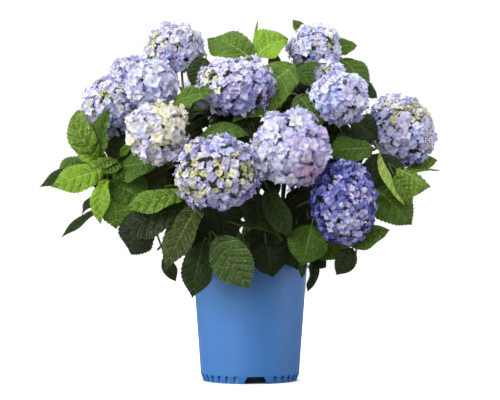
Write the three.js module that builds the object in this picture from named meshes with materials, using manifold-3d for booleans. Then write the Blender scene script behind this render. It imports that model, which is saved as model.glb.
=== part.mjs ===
// A bigleaf hydrangea in a nursery pot: pot, potting mix, woody canes, the masses of leaves that
// make its crown, and the mophead blooms set into them. Millimetres, +Z up, and the front faces -Y.
// The origin is the middle of the pot's underside.

import * as THREE from 'three';
import { mergeVertices } from 'three/addons/utils/BufferGeometryUtils.js';
import Module from 'manifold-3d';

const wasm = await Module();
wasm.setup();

// ---------------------------------------------------------------- driving dimensions

const GAP = 0.3; // clearance between pieces that rest on each other

const POT = {
  height: 216,
  wall: 1.8,
  rimRadius: 111.5, // outside of the lip
  neckRadius: 107.6, // wall under the lip
  heelRadius: 92.5, // wall above the foot's chamfer
  footRadius: 87.5, // outside of the flat foot ring
  ringRadius: 80, // inside of the foot ring
  padRadius: 62, // the floor's flat middle, which also stands on the ground
  lipHeight: 7.5,
  lipRound: 1.5,
  footHeight: 12, // of the chamfer, and of the channel between the foot ring and the floor's middle
  footSlope: 2, // lean of the channel's two sides
  floor: 2.5,
  segments: 40,
};

const NOTCH = { count: 3, foot: 45, top: 30, height: 13, turn: 6.6 }; // drainage gaps through the foot
const FLUTE = { count: 8, pitch: 10.57, width: 7, height: 13, depth: 6, sides: 6 }; // grooves between gaps
const CUTTER = { below: 1, inside: 8, reach: 40 }; // how far the tools that cut these run past the foot

// The potting mix is heaped in the middle and settled into a shallow dish next to the wall.
const MIX = { top: 193, heapRadius: 72, dish: 5, edge: 8, segments: POT.segments / 2 };

const HEART = new THREE.Vector3(0, 0, 380); // the crown's middle, which everything is placed from

// Canes flare at the foot over flareLength of their length, and bow up by bow at bendAt of it.
const CANE = {
  footRadius: 6.2,
  tipRadius: 4.2,
  flare: 1.45,
  flareLength: 0.08,
  ring: 34, // the canes' feet stand in a ring this wide
  bow: 26,
  bendAt: 0.4,
  sides: 7,
  steps: 5,
};

// Every bloom and leaf mass sits out from the crown's heart: azimuth is turned from the front towards
// the right, rise is above level, both in degrees, and reach is the distance to its middle. across, tall
// and deep are its sizes sideways, upwards and outwards.

const MOPHEADS = {
  mophead_front: { azimuth: 16, rise: 7, reach: 252, across: 131, tall: 136, deep: 118 },
  mophead_front_low: { azimuth: -12, rise: -3, reach: 266, across: 146, tall: 130, deep: 120 },
  mophead_front_left: { azimuth: -39, rise: 14, reach: 264, across: 110, tall: 110, deep: 100 },
  mophead_front_top: { azimuth: -10, rise: 45, reach: 215, across: 148, tall: 112, deep: 108 },
  mophead_right_low: { azimuth: 38, rise: -12, reach: 273, across: 127, tall: 147, deep: 112 },
  mophead_right_upper: { azimuth: 45, rise: 30, reach: 259, across: 112, tall: 100, deep: 100 },
  mophead_right: { azimuth: 80, rise: 16, reach: 304, across: 130, tall: 134, deep: 126 },
  mophead_right_top: { azimuth: 90, rise: 64, reach: 286, across: 110, tall: 110, deep: 96 },
  mophead_right_behind: { azimuth: 75, rise: 52, reach: 238, across: 84, tall: 84, deep: 80 },
  mophead_left: { azimuth: -77, rise: 25, reach: 298, across: 118, tall: 132, deep: 104 },
  mophead_left_upper: { azimuth: -56, rise: 36, reach: 266, across: 100, tall: 98, deep: 90 },
  mophead_left_top: { azimuth: -90, rise: 60, reach: 288, across: 118, tall: 116, deep: 110 },
  mophead_left_behind: { azimuth: -104, rise: 41, reach: 318, across: 92, tall: 84, deep: 80 },
  mophead_back_left: { azimuth: -128, rise: 14, reach: 282, across: 126, tall: 124, deep: 116 },
  mophead_back_left_top: { azimuth: -150, rise: 44, reach: 262, across: 130, tall: 112, deep: 106 },
  mophead_back_left_low: { azimuth: -158, rise: -4, reach: 268, across: 136, tall: 130, deep: 116 },
  mophead_back: { azimuth: 174, rise: 20, reach: 266, across: 122, tall: 118, deep: 106 },
  mophead_back_right: { azimuth: 140, rise: 2, reach: 280, across: 132, tall: 130, deep: 116 },
  mophead_back_right_top: { azimuth: 142, rise: 42, reach: 272, across: 124, tall: 112, deep: 104 },
  mophead_right_back: { azimuth: 110, rise: -1, reach: 274, across: 118, tall: 116, deep: 106 },
  mophead_left_back: { azimuth: -106, rise: 0, reach: 268, across: 112, tall: 116, deep: 104 },
};

// A leaf mass also has the tips of its furthest leaves, each [azimuth, rise, reach] from its own middle.
const LEAF_MASSES = {
  leaf_mass_heart: { azimuth: 0, rise: 90, reach: 26, across: 390, tall: 350, deep: 380, tips: [] },
  leaf_mass_left: {
    azimuth: -80, rise: 2, reach: 276, across: 170, tall: 140, deep: 170,
    tips: [[-84, -15, 122], [-100, -55, 142], [8, -54, 118], [-114, 54, 128], [-40, 30, 90]],
  },
  leaf_mass_left_low: {
    azimuth: -58, rise: -21, reach: 222, across: 150, tall: 130, deep: 130,
    tips: [[-92, -53, 84], [-174, -57, 94], [-70, 14, 80]],
  },
  leaf_mass_front_left: {
    azimuth: -38, rise: -8, reach: 228, across: 110, tall: 80, deep: 90,
    tips: [[-40, -28, 80], [-60, 64, 66]],
  },
  leaf_mass_left_upper: {
    azimuth: -43, rise: 34, reach: 190, across: 104, tall: 100, deep: 100,
    tips: [[-87, 56, 60], [50, -15, 72], [-34, -40, 76]],
  },
  leaf_mass_front_left_low: {
    azimuth: -20, rise: -38, reach: 230, across: 124, tall: 130, deep: 96,
    tips: [[-148, -53, 100], [81, -46, 94], [-108, -9, 104]],
  },
  leaf_mass_front_low: {
    azimuth: 16, rise: -34, reach: 200, across: 124, tall: 130, deep: 100,
    tips: [[100, -29, 80], [-54, 12, 72], [20, -60, 78]],
  },
  leaf_mass_front: {
    azimuth: 2, rise: 24, reach: 190, across: 130, tall: 100, deep: 90,
    tips: [[-80, 10, 84], [85, -20, 76]],
  },
  leaf_mass_right_low: {
    azimuth: 54, rise: -34, reach: 228, across: 140, tall: 96, deep: 126,
    tips: [[-82, -55, 90], [124, -38, 78], [112, 8, 112], [20, -50, 66]],
  },
  leaf_mass_front_right: {
    azimuth: 54, rise: 4, reach: 216, across: 120, tall: 130, deep: 100,
    tips: [[30, 60, 80], [-60, -50, 80]],
  },
  leaf_mass_front_upper: {
    azimuth: 28, rise: 43, reach: 206, across: 100, tall: 100, deep: 90,
    tips: [[60, 50, 66], [-40, 50, 66]],
  },
  leaf_mass_right: {
    azimuth: 82, rise: -7, reach: 272, across: 150, tall: 110, deep: 150,
    tips: [[97, 28, 106], [67, 12, 88], [24, -53, 84], [-24, -44, 107]],
  },
  leaf_mass_right_upper: {
    azimuth: 88, rise: 30, reach: 246, across: 100, tall: 80, deep: 90,
    tips: [[60, 70, 56], [100, 40, 62]],
  },
  leaf_mass_right_top: {
    azimuth: 100, rise: 48, reach: 270, across: 100, tall: 80, deep: 80,
    tips: [[80, 60, 88], [96, -2, 66], [-121, 32, 62]],
  },
  leaf_mass_top: {
    azimuth: 180, rise: 84, reach: 240, across: 140, tall: 130, deep: 100,
    tips: [[-93, 24, 96], [45, 74, 74], [78, 20, 82], [-12, -15, 88]],
  },
  leaf_mass_left_top: {
    azimuth: -124, rise: 50, reach: 226, across: 140, tall: 120, deep: 110,
    tips: [[-140, 40, 86], [-30, 40, 76], [-78, 17, 92]],
  },
  leaf_mass_back_left: {
    azimuth: -132, rise: -12, reach: 256, across: 170, tall: 140, deep: 150,
    tips: [[-120, 30, 98], [-150, -20, 106], [-100, -30, 92]],
  },
  leaf_mass_back_left_low: {
    azimuth: -122, rise: -32, reach: 222, across: 150, tall: 110, deep: 124,
    tips: [[-96, -16, 88], [-140, -48, 90]],
  },
  leaf_mass_back: {
    azimuth: -176, rise: 4, reach: 232, across: 140, tall: 150, deep: 120,
    tips: [[-178, 36, 92], [150, -30, 88]],
  },
  leaf_mass_back_low: {
    azimuth: 176, rise: -34, reach: 228, across: 170, tall: 130, deep: 120,
    tips: [[160, -50, 98], [-150, -40, 104]],
  },
  leaf_mass_back_right: {
    azimuth: 124, rise: 16, reach: 254, across: 140, tall: 140, deep: 130,
    tips: [[120, 20, 92], [100, -40, 84]],
  },
  leaf_mass_back_right_low: {
    azimuth: 124, rise: -30, reach: 230, across: 160, tall: 110, deep: 126,
    tips: [[124, -24, 96], [90, -34, 88], [150, -36, 100]],
  },
  leaf_mass_back_top: {
    azimuth: 176, rise: 54, reach: 232, across: 160, tall: 120, deep: 110,
    tips: [[170, 30, 82], [-90, 30, 90], [110, 44, 84]],
  },
};

const CANES = {
  cane_front: { azimuth: 10, towards: 'leaf_mass_front_low' },
  cane_front_left: { azimuth: -28, towards: 'leaf_mass_front_left_low' },
  cane_left: { azimuth: -72, towards: 'leaf_mass_left_low' },
  cane_back_left: { azimuth: -118, towards: 'leaf_mass_back_left_low' },
  cane_back: { azimuth: 178, towards: 'leaf_mass_back_low' },
  cane_back_right: { azimuth: 126, towards: 'leaf_mass_back_right_low' },
  cane_right: { azimuth: 58, towards: 'leaf_mass_right_low' },
  cane_middle: { azimuth: 90, ring: 6, towards: 'leaf_mass_heart' },
};

// How finely the two kinds of lump are faceted, and how uneven they are: so many swellings, so high for
// their size and so wide, and the width of a leaf tip, all as shares of a ball.
const BLOOM_SHAPE = { detail: 2, count: 5, height: 0.04, spread: 0.15 };
const LEAF_SHAPE = { detail: 3, count: 6, height: 0.12, spread: 0.1, tipSpread: 0.05 };

// ---------------------------------------------------------------- finishes

const finish = (color, roughness) => new THREE.MeshStandardMaterial({ color, roughness, metalness: 0 });

const FINISHES = {
  pot: finish(0x3f7cc4, 0.45),
  mix: finish(0x3b2a1f, 0.95),
  cane: finish(0x6b5238, 0.8),
  leaf: finish(0x3f6b22, 0.6),
  bloom: finish(0xa9abdf, 0.7),
};

// ---------------------------------------------------------------- closed solids

// The manifold of a closed geometry: only its places are kept, and shared corners are merged.
function solidOf(geometry) {
  const bare = geometry.clone();
  bare.deleteAttribute('normal');
  bare.deleteAttribute('uv');
  const merged = mergeVertices(bare, 1e-4);
  return new wasm.Manifold(
    new wasm.Mesh({
      numProp: 3,
      vertProperties: merged.attributes.position.array,
      triVerts: new Uint32Array(merged.index.array),
    }),
  );
}

// A manifold's surface as a three.js geometry.
function geometryOf(solid) {
  const { vertProperties, triVerts } = solid.getMesh();
  const geometry = new THREE.BufferGeometry();
  geometry.setAttribute('position', new THREE.BufferAttribute(vertProperties, 3));
  geometry.setIndex(new THREE.BufferAttribute(triVerts, 1));
  geometry.computeVertexNormals();
  return geometry;
}

// Of the separate bodies that a cut left, the one that comes first by the measure given.
const pickBody = (solid, isFirst) =>
  solid.decompose().reduce((best, body) => (isFirst(body, best) ? body : best));
const isLarger = (a, b) => a.volume() > b.volume();
const isLower = (a, b) => a.boundingBox().min[2] < b.boundingBox().min[2];

// A solid turned about the Z axis from a profile of [radius, height] pairs.
function turned(profile, segments) {
  const points = profile.map(([radius, height]) => new THREE.Vector2(radius, height));
  const geometry = new THREE.LatheGeometry([...points, points[0].clone()], segments);
  geometry.rotateX(Math.PI / 2);
  return solidOf(geometry);
}

function piece(name, solid, material) {
  const mesh = new THREE.Mesh(geometryOf(solid), material);
  mesh.name = name;
  return mesh;
}

// ---------------------------------------------------------------- pot and potting mix

// The wall's outside radius at a height between the foot's chamfer and the lip.
function wallRadius(height) {
  const { footHeight, heelRadius, neckRadius } = POT;
  return THREE.MathUtils.mapLinear(height, footHeight, POT.height - POT.lipHeight, heelRadius, neckRadius);
}

// The pot's outside, from the top of the chamfer up to the top of the lip, or a little outside of it.
function potOutside(extra = 0) {
  return [
    [POT.heelRadius + extra, POT.footHeight],
    [POT.neckRadius + extra, POT.height - POT.lipHeight],
    [POT.rimRadius + extra, POT.height - POT.lipHeight + 1],
    [POT.rimRadius + extra, POT.height - POT.lipRound],
    [POT.rimRadius - POT.lipRound + extra, POT.height + extra],
  ];
}

// The pot's inside, from the top of the wall down to the middle of the floor, or a little inside of it.
function potInside(inset = 0) {
  const step = POT.footHeight + POT.floor;
  return [
    [wallRadius(POT.height) - POT.wall - inset, POT.height],
    [wallRadius(step) - POT.wall - inset, step + inset],
    [POT.padRadius - inset, step + inset],
    [POT.padRadius - POT.floor - inset, POT.floor + inset],
    [0, POT.floor + inset],
  ];
}

// One groove: an upright round-topped plug that cuts into the foot from outside.
function fluteCutter() {
  const half = FLUTE.width / 2;
  const straight = FLUTE.height - half;
  const arch = new THREE.Shape();
  arch.moveTo(-half, -CUTTER.below);
  arch.lineTo(half, -CUTTER.below);
  arch.lineTo(half, straight);
  arch.absarc(0, straight, half, 0, Math.PI);
  const geometry = new THREE.ExtrudeGeometry(arch, {
    depth: CUTTER.reach,
    bevelEnabled: false,
    curveSegments: FLUTE.sides / 2,
  });
  geometry.rotateX(Math.PI / 2);
  geometry.translate(0, -(wallRadius(FLUTE.height) - FLUTE.depth), 0);
  return solidOf(geometry);
}

// One drainage gap: a trapezoid prism that cuts right through the foot ring.
function notchCutter() {
  const outline = new THREE.Shape([
    new THREE.Vector2(-NOTCH.foot / 2, -CUTTER.below),
    new THREE.Vector2(NOTCH.foot / 2, -CUTTER.below),
    new THREE.Vector2(NOTCH.top / 2, NOTCH.height),
    new THREE.Vector2(-NOTCH.top / 2, NOTCH.height),
  ]);
  const geometry = new THREE.ExtrudeGeometry(outline, { depth: CUTTER.reach, bevelEnabled: false });
  geometry.rotateX(Math.PI / 2);
  geometry.translate(0, -(POT.ringRadius - CUTTER.inside), 0);
  return solidOf(geometry);
}

// The pot: its flat middle and its foot ring stand on the ground, with a channel between them.
function pot() {
  const underside = [
    [0, 0],
    [POT.padRadius, 0],
    [POT.padRadius + POT.footSlope, POT.footHeight],
    [POT.ringRadius - POT.footSlope, POT.footHeight],
    [POT.ringRadius, 0],
    [POT.footRadius, 0],
  ];
  let solid = turned([...underside, ...potOutside(), ...potInside()], POT.segments);
  const apart = 360 / NOTCH.count;
  const notch = notchCutter();
  const flute = fluteCutter();
  for (let i = 0; i < NOTCH.count; i += 1) {
    const middle = NOTCH.turn + i * apart;
    solid = solid.subtract(notch.rotate([0, 0, middle]));
    for (let j = 0; j < FLUTE.count; j += 1) {
      const turn = middle + apart / 2 + (j - (FLUTE.count - 1) / 2) * FLUTE.pitch;
      solid = solid.subtract(flute.rotate([0, 0, turn]));
    }
  }
  return piece('pot', solid, FINISHES.pot);
}

function pottingMix() {
  const side = wallRadius(MIX.top) - POT.wall - GAP;
  const surface = [
    [0, MIX.top],
    [MIX.heapRadius, MIX.top],
    [side - MIX.edge, MIX.top - MIX.dish],
    [side, MIX.top - MIX.dish / 2],
  ];
  const below = potInside(GAP).slice(1).reverse();
  return piece('potting_mix', turned([...below, ...surface.reverse()], MIX.segments), FINISHES.mix);
}

// ---------------------------------------------------------------- crown

// The unit direction of an azimuth and a rise.
function direction(azimuth, rise) {
  const turn = THREE.MathUtils.degToRad(azimuth);
  const lift = THREE.MathUtils.degToRad(rise);
  return new THREE.Vector3(Math.sin(turn) * Math.cos(lift), -Math.cos(turn) * Math.cos(lift), Math.sin(lift));
}

// A lump's middle, and the directions of its three sizes there.
function placed({ azimuth, rise, reach }) {
  const sideways = direction(azimuth + 90, 0);
  const outwards = direction(azimuth, rise);
  const upwards = direction(azimuth, rise + 90);
  return { middle: HEART.clone().addScaledVector(outwards, reach), sideways, upwards, outwards };
}

// A repeatable source of numbers from 0 to 1, started from a name.
function randomFrom(name) {
  let state = [...name].reduce((sum, letter) => (Math.imul(sum, 31) + letter.charCodeAt(0)) >>> 0, 7);
  return () => {
    state = (Math.imul(state, 1664525) + 1013904223) >>> 0;
    return state / 2 ** 32;
  };
}

// Swellings in seeded directions, each a smooth hump on a ball.
function humps(name, { count, height, spread }) {
  const random = randomFrom(name);
  return Array.from({ length: count }, () => {
    const level = THREE.MathUtils.radToDeg(Math.asin(random() * 2 - 1));
    return { axis: direction(random() * 360, level), height: height * (0.5 + random()), spread };
  });
}

// How high the swellings stand together in one direction.
function bulge(direction, swellings) {
  const heightOf = ({ axis, height, spread }) => height * Math.exp((direction.dot(axis) - 1) / spread);
  return swellings.reduce((sum, swelling) => sum + heightOf(swelling), 0);
}

// The distance from a lump's middle to its surface: a ball stretched to its three sizes, with its humps
// on it, and drawn out to a point at each leaf tip.
function surface(place, swellings) {
  const { sideways, upwards, outwards } = placed(place);
  const reachTo = (axis) => {
    const across = axis.dot(sideways) / (place.across / 2);
    const tall = axis.dot(upwards) / (place.tall / 2);
    const deep = axis.dot(outwards) / (place.deep / 2);
    return (1 + bulge(axis, swellings)) / Math.hypot(across, tall, deep);
  };
  const points = (place.tips ?? []).map(([azimuth, rise, reach]) => {
    const axis = direction(azimuth, rise);
    return { axis, height: reach - reachTo(axis), spread: LEAF_SHAPE.tipSpread };
  });
  return (axis) => reachTo(axis) + bulge(axis, points);
}

// A closed solid of that surface, with corners at the leaf tips.
function lump(place, shape, swellings, extra = 0) {
  const { middle } = placed(place);
  const ball = new THREE.OctahedronGeometry(1, shape.detail);
  const geometry = mergeVertices(ball.deleteAttribute('uv').deleteAttribute('normal'));
  const corners = geometry.attributes.position;
  const axes = Array.from({ length: corners.count }, (_, i) =>
    new THREE.Vector3().fromBufferAttribute(corners, i).normalize(),
  );
  for (const [azimuth, rise] of place.tips ?? []) {
    const tip = direction(azimuth, rise);
    const nearest = axes.reduce((best, axis, i) => (axis.dot(tip) > axes[best].dot(tip) ? i : best), 0);
    axes[nearest] = tip;
  }
  const distance = surface(place, swellings);
  axes.forEach((axis, i) => {
    const spot = middle.clone().addScaledVector(axis, distance(axis) + extra);
    corners.setXYZ(i, spot.x, spot.y, spot.z);
  });
  return solidOf(geometry);
}

// The blooms and then the leaf masses, each cut clear of those before it and of the space over the pot,
// and the whole space that they fill.
function packCrown(potSpace) {
  const cutters = [potSpace];
  const made = new Map();
  const add = (name, place, shape) => {
    const swellings = humps(name, shape);
    const body = cutters.reduce((solid, cutter) => solid.subtract(cutter), lump(place, shape, swellings));
    made.set(name, pickBody(body, isLarger));
    cutters.push(lump(place, shape, swellings, GAP));
  };
  Object.entries(MOPHEADS).forEach(([name, place]) => add(name, place, BLOOM_SHAPE));
  Object.entries(LEAF_MASSES).forEach(([name, place]) => add(name, place, LEAF_SHAPE));
  return { made, filled: wasm.Manifold.union(cutters.slice(1)) };
}

// ---------------------------------------------------------------- canes

// A cane rises from the mix, bows out towards a leaf mass and ends where it enters the crown. It tapers,
// and flares at its flat-cut foot.
function cane(name, { azimuth, ring = CANE.ring, towards }, filled) {
  const turn = THREE.MathUtils.degToRad(azimuth);
  const foot = new THREE.Vector3(Math.sin(turn) * ring, -Math.cos(turn) * ring, MIX.top + GAP);
  const tip = placed(LEAF_MASSES[towards]).middle;
  const bend = foot.clone().lerp(tip, CANE.bendAt);
  bend.z += CANE.bow;
  const path = new THREE.QuadraticBezierCurve3(foot, bend, tip);
  const geometry = new THREE.CylinderGeometry(1, 1, 1, CANE.sides, CANE.steps);
  const corners = geometry.attributes.position;
  const up = new THREE.Vector3(0, 0, 1);
  for (let i = 0; i < corners.count; i += 1) {
    const along = corners.getY(i) + 0.5;
    const flare = 1 + (CANE.flare - 1) * Math.exp(-along / CANE.flareLength);
    const radius = THREE.MathUtils.lerp(CANE.footRadius, CANE.tipRadius, along) * flare;
    const lean = along === 0 ? up : path.getTangentAt(along);
    const level = new THREE.Quaternion().setFromUnitVectors(up, lean);
    const spot = new THREE.Vector3(corners.getX(i), -corners.getZ(i), 0).multiplyScalar(radius);
    spot.applyQuaternion(level).add(path.getPointAt(along));
    corners.setXYZ(i, spot.x, spot.y, spot.z);
  }
  const solid = pickBody(solidOf(geometry).subtract(filled), isLower);
  return piece(name, solid, FINISHES.cane);
}

// ---------------------------------------------------------------- the whole plant

function hydrangea() {
  const group = new THREE.Group();
  group.name = 'hydrangea';
  group.add(pot(), pottingMix());
  const outline = [[0, 0], [POT.footRadius, 0], ...potOutside(GAP), [0, POT.height + GAP]];
  const { made, filled } = packCrown(turned(outline, POT.segments));
  for (const [name, solid] of made) {
    group.add(piece(name, solid, name in MOPHEADS ? FINISHES.bloom : FINISHES.leaf));
  }
  for (const [name, plan] of Object.entries(CANES)) {
    group.add(cane(name, plan, filled));
  }
  return group;
}

export default hydrangea();
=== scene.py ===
"""A mophead hydrangea shrub in its round nursery pot.

Canes rise from the potting mix, fork into shoots, and carry opposite pairs of quilted leaves and a mophead
of four-petalled florets each. Sizes are in metres, +Z is up and the front faces -Y.
"""

import logging
import math
import zlib
from dataclasses import dataclass, field
from enum import Enum

import bmesh
import bpy
import numpy as np
from mathutils import Matrix, Vector


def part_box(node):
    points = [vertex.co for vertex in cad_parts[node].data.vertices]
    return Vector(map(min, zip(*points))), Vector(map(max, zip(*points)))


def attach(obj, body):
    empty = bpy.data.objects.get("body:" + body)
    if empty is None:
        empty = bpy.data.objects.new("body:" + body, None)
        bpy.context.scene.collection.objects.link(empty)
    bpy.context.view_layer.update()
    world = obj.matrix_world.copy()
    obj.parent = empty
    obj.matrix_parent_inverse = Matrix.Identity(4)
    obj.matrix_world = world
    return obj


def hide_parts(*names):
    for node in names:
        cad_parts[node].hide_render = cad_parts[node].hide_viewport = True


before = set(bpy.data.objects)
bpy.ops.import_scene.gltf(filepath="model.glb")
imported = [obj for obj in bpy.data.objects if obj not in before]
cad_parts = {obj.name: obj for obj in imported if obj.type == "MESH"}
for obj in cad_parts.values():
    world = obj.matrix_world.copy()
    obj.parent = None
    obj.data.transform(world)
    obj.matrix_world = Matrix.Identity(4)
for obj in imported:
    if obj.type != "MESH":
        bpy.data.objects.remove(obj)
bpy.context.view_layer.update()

LOG = logging.getLogger("hydrangea")
HEART = np.array([0.0, 0.0, 0.38])
UP = np.array([0.0, 0.0, 1.0])
PATTERN_MAP = "surface"
BAKE_MAP = "OFBake"
LEAF_VEINS = 7
GOLDEN_TURN = 2.39996
WHITE = (1.0, 1.0, 1.0, 1.0)

Point = tuple[float, float, float]
Range = tuple[float, float]
Colour = tuple[float, float, float, float]
Socket = bpy.types.NodeSocket
Array = np.ndarray


def linear(code: str) -> Colour:
    """Turn a written colour into the linear one that shaders take.

    Args:
        code: Six hexadecimal digits, red first.

    Returns:
        Red, green, blue and a full alpha.
    """
    parts = [int(code[i : i + 2], 16) / 255 for i in (0, 2, 4)]
    red, green, blue = [c / 12.92 if c <= 0.04045 else ((c + 0.055) / 1.055) ** 2.4 for c in parts]
    return red, green, blue, 1.0


def seeded(name: str) -> np.random.Generator:
    """Give the random numbers that belong to a name, the same on every run."""
    return np.random.default_rng(zlib.crc32(name.encode()))


def unit(vectors: Array) -> Array:
    """Scale vectors to length one."""
    length = np.linalg.norm(vectors, axis=-1, keepdims=True)
    return vectors / np.maximum(length, 1e-9)


def towards(azimuth: float, rise: float) -> Array:
    """Give a direction from two angles in degrees."""
    turn, lift = math.radians(azimuth), math.radians(rise)
    return np.array([math.sin(turn) * math.cos(lift), -math.cos(turn) * math.cos(lift), math.sin(lift)])


def middle_and_reach(node: str) -> tuple[Array, Array]:
    """Give the middle and the half sizes of a CAD node."""
    low, high = (np.array(corner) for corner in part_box(node))
    return (low + high) / 2, (high - low) / 2


# --------------------------------------
# Node trees


class Graph:
    """A node tree with short ways to add and join nodes."""

    def __init__(self, tree: bpy.types.NodeTree) -> None:
        """Start on an empty tree."""
        self.tree = tree
        tree.nodes.clear()

    def node(self, kind: str, **settings: object) -> bpy.types.Node:
        """Add a node.

        Args:
            kind: The node's type.
            settings: Properties to set on it.

        Returns:
            The new node.
        """
        made = self.tree.nodes.new(kind)
        for name, value in settings.items():
            setattr(made, name, value)
        return made

    def feed(self, socket: Socket, value: object) -> None:
        """Join another node's socket to this one, or set its value.

        Args:
            socket: The input to fill.
            value: An output socket, a number or a colour.
        """
        if isinstance(value, Socket):
            self.tree.links.new(value, socket)
        else:
            socket.default_value = value

    def joined(self, kind: str, values: dict, **settings: object) -> bpy.types.NodeOutputs:
        """Add a node and fill its inputs.

        Args:
            kind: The node's type.
            values: What its inputs take, by their names or places.
            settings: Properties to set on it.

        Returns:
            The node's outputs.
        """
        made = self.node(kind, **settings)
        for title, value in values.items():
            self.feed(made.inputs[title], value)
        return made.outputs

    def maths(self, operation: str, first: object, second: object = 0.0, clamp: bool = False) -> Socket:
        """Work out a number from one or two others, and keep it between 0 and 1 if it is to be clamped."""
        values = {0: first, 1: second}
        return self.joined("ShaderNodeMath", values, operation=operation, use_clamp=clamp)[0]

    def times(self, first: object, second: object) -> Socket:
        """Multiply two numbers."""
        return self.maths("MULTIPLY", first, second)

    def between(
        self, value: object, low: float, high: float, start: float = 0.0, end: float = 1.0
    ) -> Socket:
        """Pass smoothly from start to end while a value goes from low to high."""
        values = dict(enumerate((value, low, high, start, end)))
        return self.joined("ShaderNodeMapRange", values, interpolation_type="SMOOTHSTEP")[0]

    def blend(self, share: object, first: object, second: object, kind: str = "MIX") -> Socket:
        """Mix two colours by the share of the second."""
        values = {0: share, 6: first, 7: second}
        return self.joined("ShaderNodeMix", values, data_type="RGBA", blend_type=kind)[2]

    def noise(self, vector: object, scale: float, detail: float = 2.0, roughness: float = 0.5) -> Socket:
        """Give a soft random value between about 0.3 and 0.7, with finer layers by its detail."""
        values = {"Vector": vector, "Scale": scale, "Detail": detail, "Roughness": roughness}
        return self.joined("ShaderNodeTexNoise", values)[0]

    def stretched(self, vector: object, scale: Point) -> Socket:
        """Scale a place by a different number along each axis."""
        return self.joined("ShaderNodeVectorMath", {0: vector, 1: scale}, operation="MULTIPLY")[0]

    def split(self, vector: Socket) -> bpy.types.NodeOutputs:
        """Give a vector's three numbers apart."""
        return self.joined("ShaderNodeSeparateXYZ", {0: vector})

    def length(self, vector: Socket) -> Socket:
        """Give a vector's length."""
        return self.joined("ShaderNodeVectorMath", {0: vector}, operation="LENGTH")["Value"]

    def on_surface(self) -> tuple[Socket, Socket, Socket]:
        """Give the pattern map's place, and its two numbers apart.

        Returns:
            Sockets for the place, the number across and the number along.
        """
        place = self.node("ShaderNodeUVMap", uv_map=PATTERN_MAP).outputs[0]
        across, along, _ = self.split(place)
        return place, across, along

    def in_object(self) -> Socket:
        """Give the place in the piece's own coordinates."""
        return self.node("ShaderNodeTexCoord").outputs["Object"]

    def from_middle(self, across: object) -> Socket:
        """Give the distance from the middle of a map, which is 1 at its two sides."""
        return self.maths("ABSOLUTE", self.times(self.maths("SUBTRACT", across, 0.5), 2.0))

    def toned(self, colour: object, tone: object) -> Socket:
        """Make a colour darker or lighter by a number that its three parts are multiplied by."""
        grey = self.joined("ShaderNodeCombineColor", dict.fromkeys(range(3), tone))[0]
        return self.blend(1.0, colour, grey, "MULTIPLY")


def effect(
    name: str, takes: dict[str, str], gives: dict[str, str]
) -> tuple[Graph, dict[str, Socket], dict[str, Socket]]:
    """Start a shared node group.

    Args:
        name: The group's name.
        takes: Its inputs, each with its socket type.
        gives: Its outputs, each with its socket type.

    Returns:
        The group's graph, its input sockets by name, and its output sockets by name.
    """
    tree = bpy.data.node_groups.new(name, "ShaderNodeTree")
    for title, kind in takes.items():
        tree.interface.new_socket(title, in_out="INPUT", socket_type=kind)
    for title, kind in gives.items():
        tree.interface.new_socket(title, in_out="OUTPUT", socket_type=kind)
    graph = Graph(tree)
    source, target = graph.node("NodeGroupInput"), graph.node("NodeGroupOutput")
    return graph, {s.name: s for s in source.outputs if s.name}, {s.name: s for s in target.inputs if s.name}


COLOUR, VALUE = "NodeSocketColor", "NodeSocketFloat"


class Finish:
    """A material made of nodes, with a Principled shader at its end."""

    def __init__(self, name: str, roughness: float, specular: float = 0.5) -> None:
        """Start a material.

        Args:
            name: The material's name.
            roughness: The shader's roughness, until something is joined to it.
            specular: The shader's specular level.
        """
        self.material = bpy.data.materials.new(name)
        self.material.use_nodes = True
        self.graph = Graph(self.material.node_tree)
        self.shader = self.graph.node("ShaderNodeBsdfPrincipled")
        self.paint("Roughness", roughness)
        self.paint("Specular IOR Level", specular)
        self.out = self.graph.node("ShaderNodeOutputMaterial")
        self.graph.feed(self.out.inputs[0], self.shader.outputs[0])

    def paint(self, title: str, value: object) -> None:
        """Join a value to one of the shader's inputs."""
        self.graph.feed(self.shader.inputs[title], value)

    def relief(self, height: object, depth: float, strength: float = 1.0) -> None:
        """Raise the surface by a height from 0 to 1, where 1 is a depth in metres."""
        values = {"Strength": strength, "Distance": depth, "Height": height}
        self.paint("Normal", self.graph.joined("ShaderNodeBump", values)[0])

    def let_light_through(self, colour: object, share: float) -> None:
        """Let some of the light behind a thin sheet show in it.

        Args:
            colour: The colour of that light, or its socket.
            share: How much of the surface's light that is.
        """
        thin = self.graph.joined("ShaderNodeBsdfTranslucent", {"Color": colour})[0]
        parts = {0: share, 1: self.shader.outputs[0], 2: thin}
        self.graph.feed(self.out.inputs[0], self.graph.joined("ShaderNodeMixShader", parts)[0])


@dataclass(frozen=True)
class Green:
    """The colours of one kind of leaf, and how strongly it is quilted."""

    blade: str
    veins: str
    midrib: str
    below: str
    quilting: float


class LeafTint(Enum):
    """The greens that leaves come in. DEEP is partly a real deep green and partly painted shade, and SHADE
    is painted shade.
    """

    LIME = Green("7ba22b", "93bb40", "b2d25c", "9cb652", 0.5)
    FRESH = Green("7a9e36", "87aa43", "a4c35a", "84994e", 1.2)
    BRIGHT = Green("5a7d24", "73953a", "93b152", "7a9048", 0.8)
    MEADOW = Green("4e6e22", "617f32", "86a24c", "6c8242", 0.9)
    OLIVE = Green("3d4d1c", "56642b", "8e984e", "66723f", 1.1)
    # DEEP is partly painted shade, and SHADE is painted shade for leaves deep in the crown.
    DEEP = Green("2c4018", "405a27", "637c3d", "4a5c34", 1.0)
    SHADE = Green("1f2d13", "2e3d1c", "45562f", "344326", 0.9)
    COPPER = Green("6c8a48", "94ab72", "96805a", "66764a", 1.7)


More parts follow.
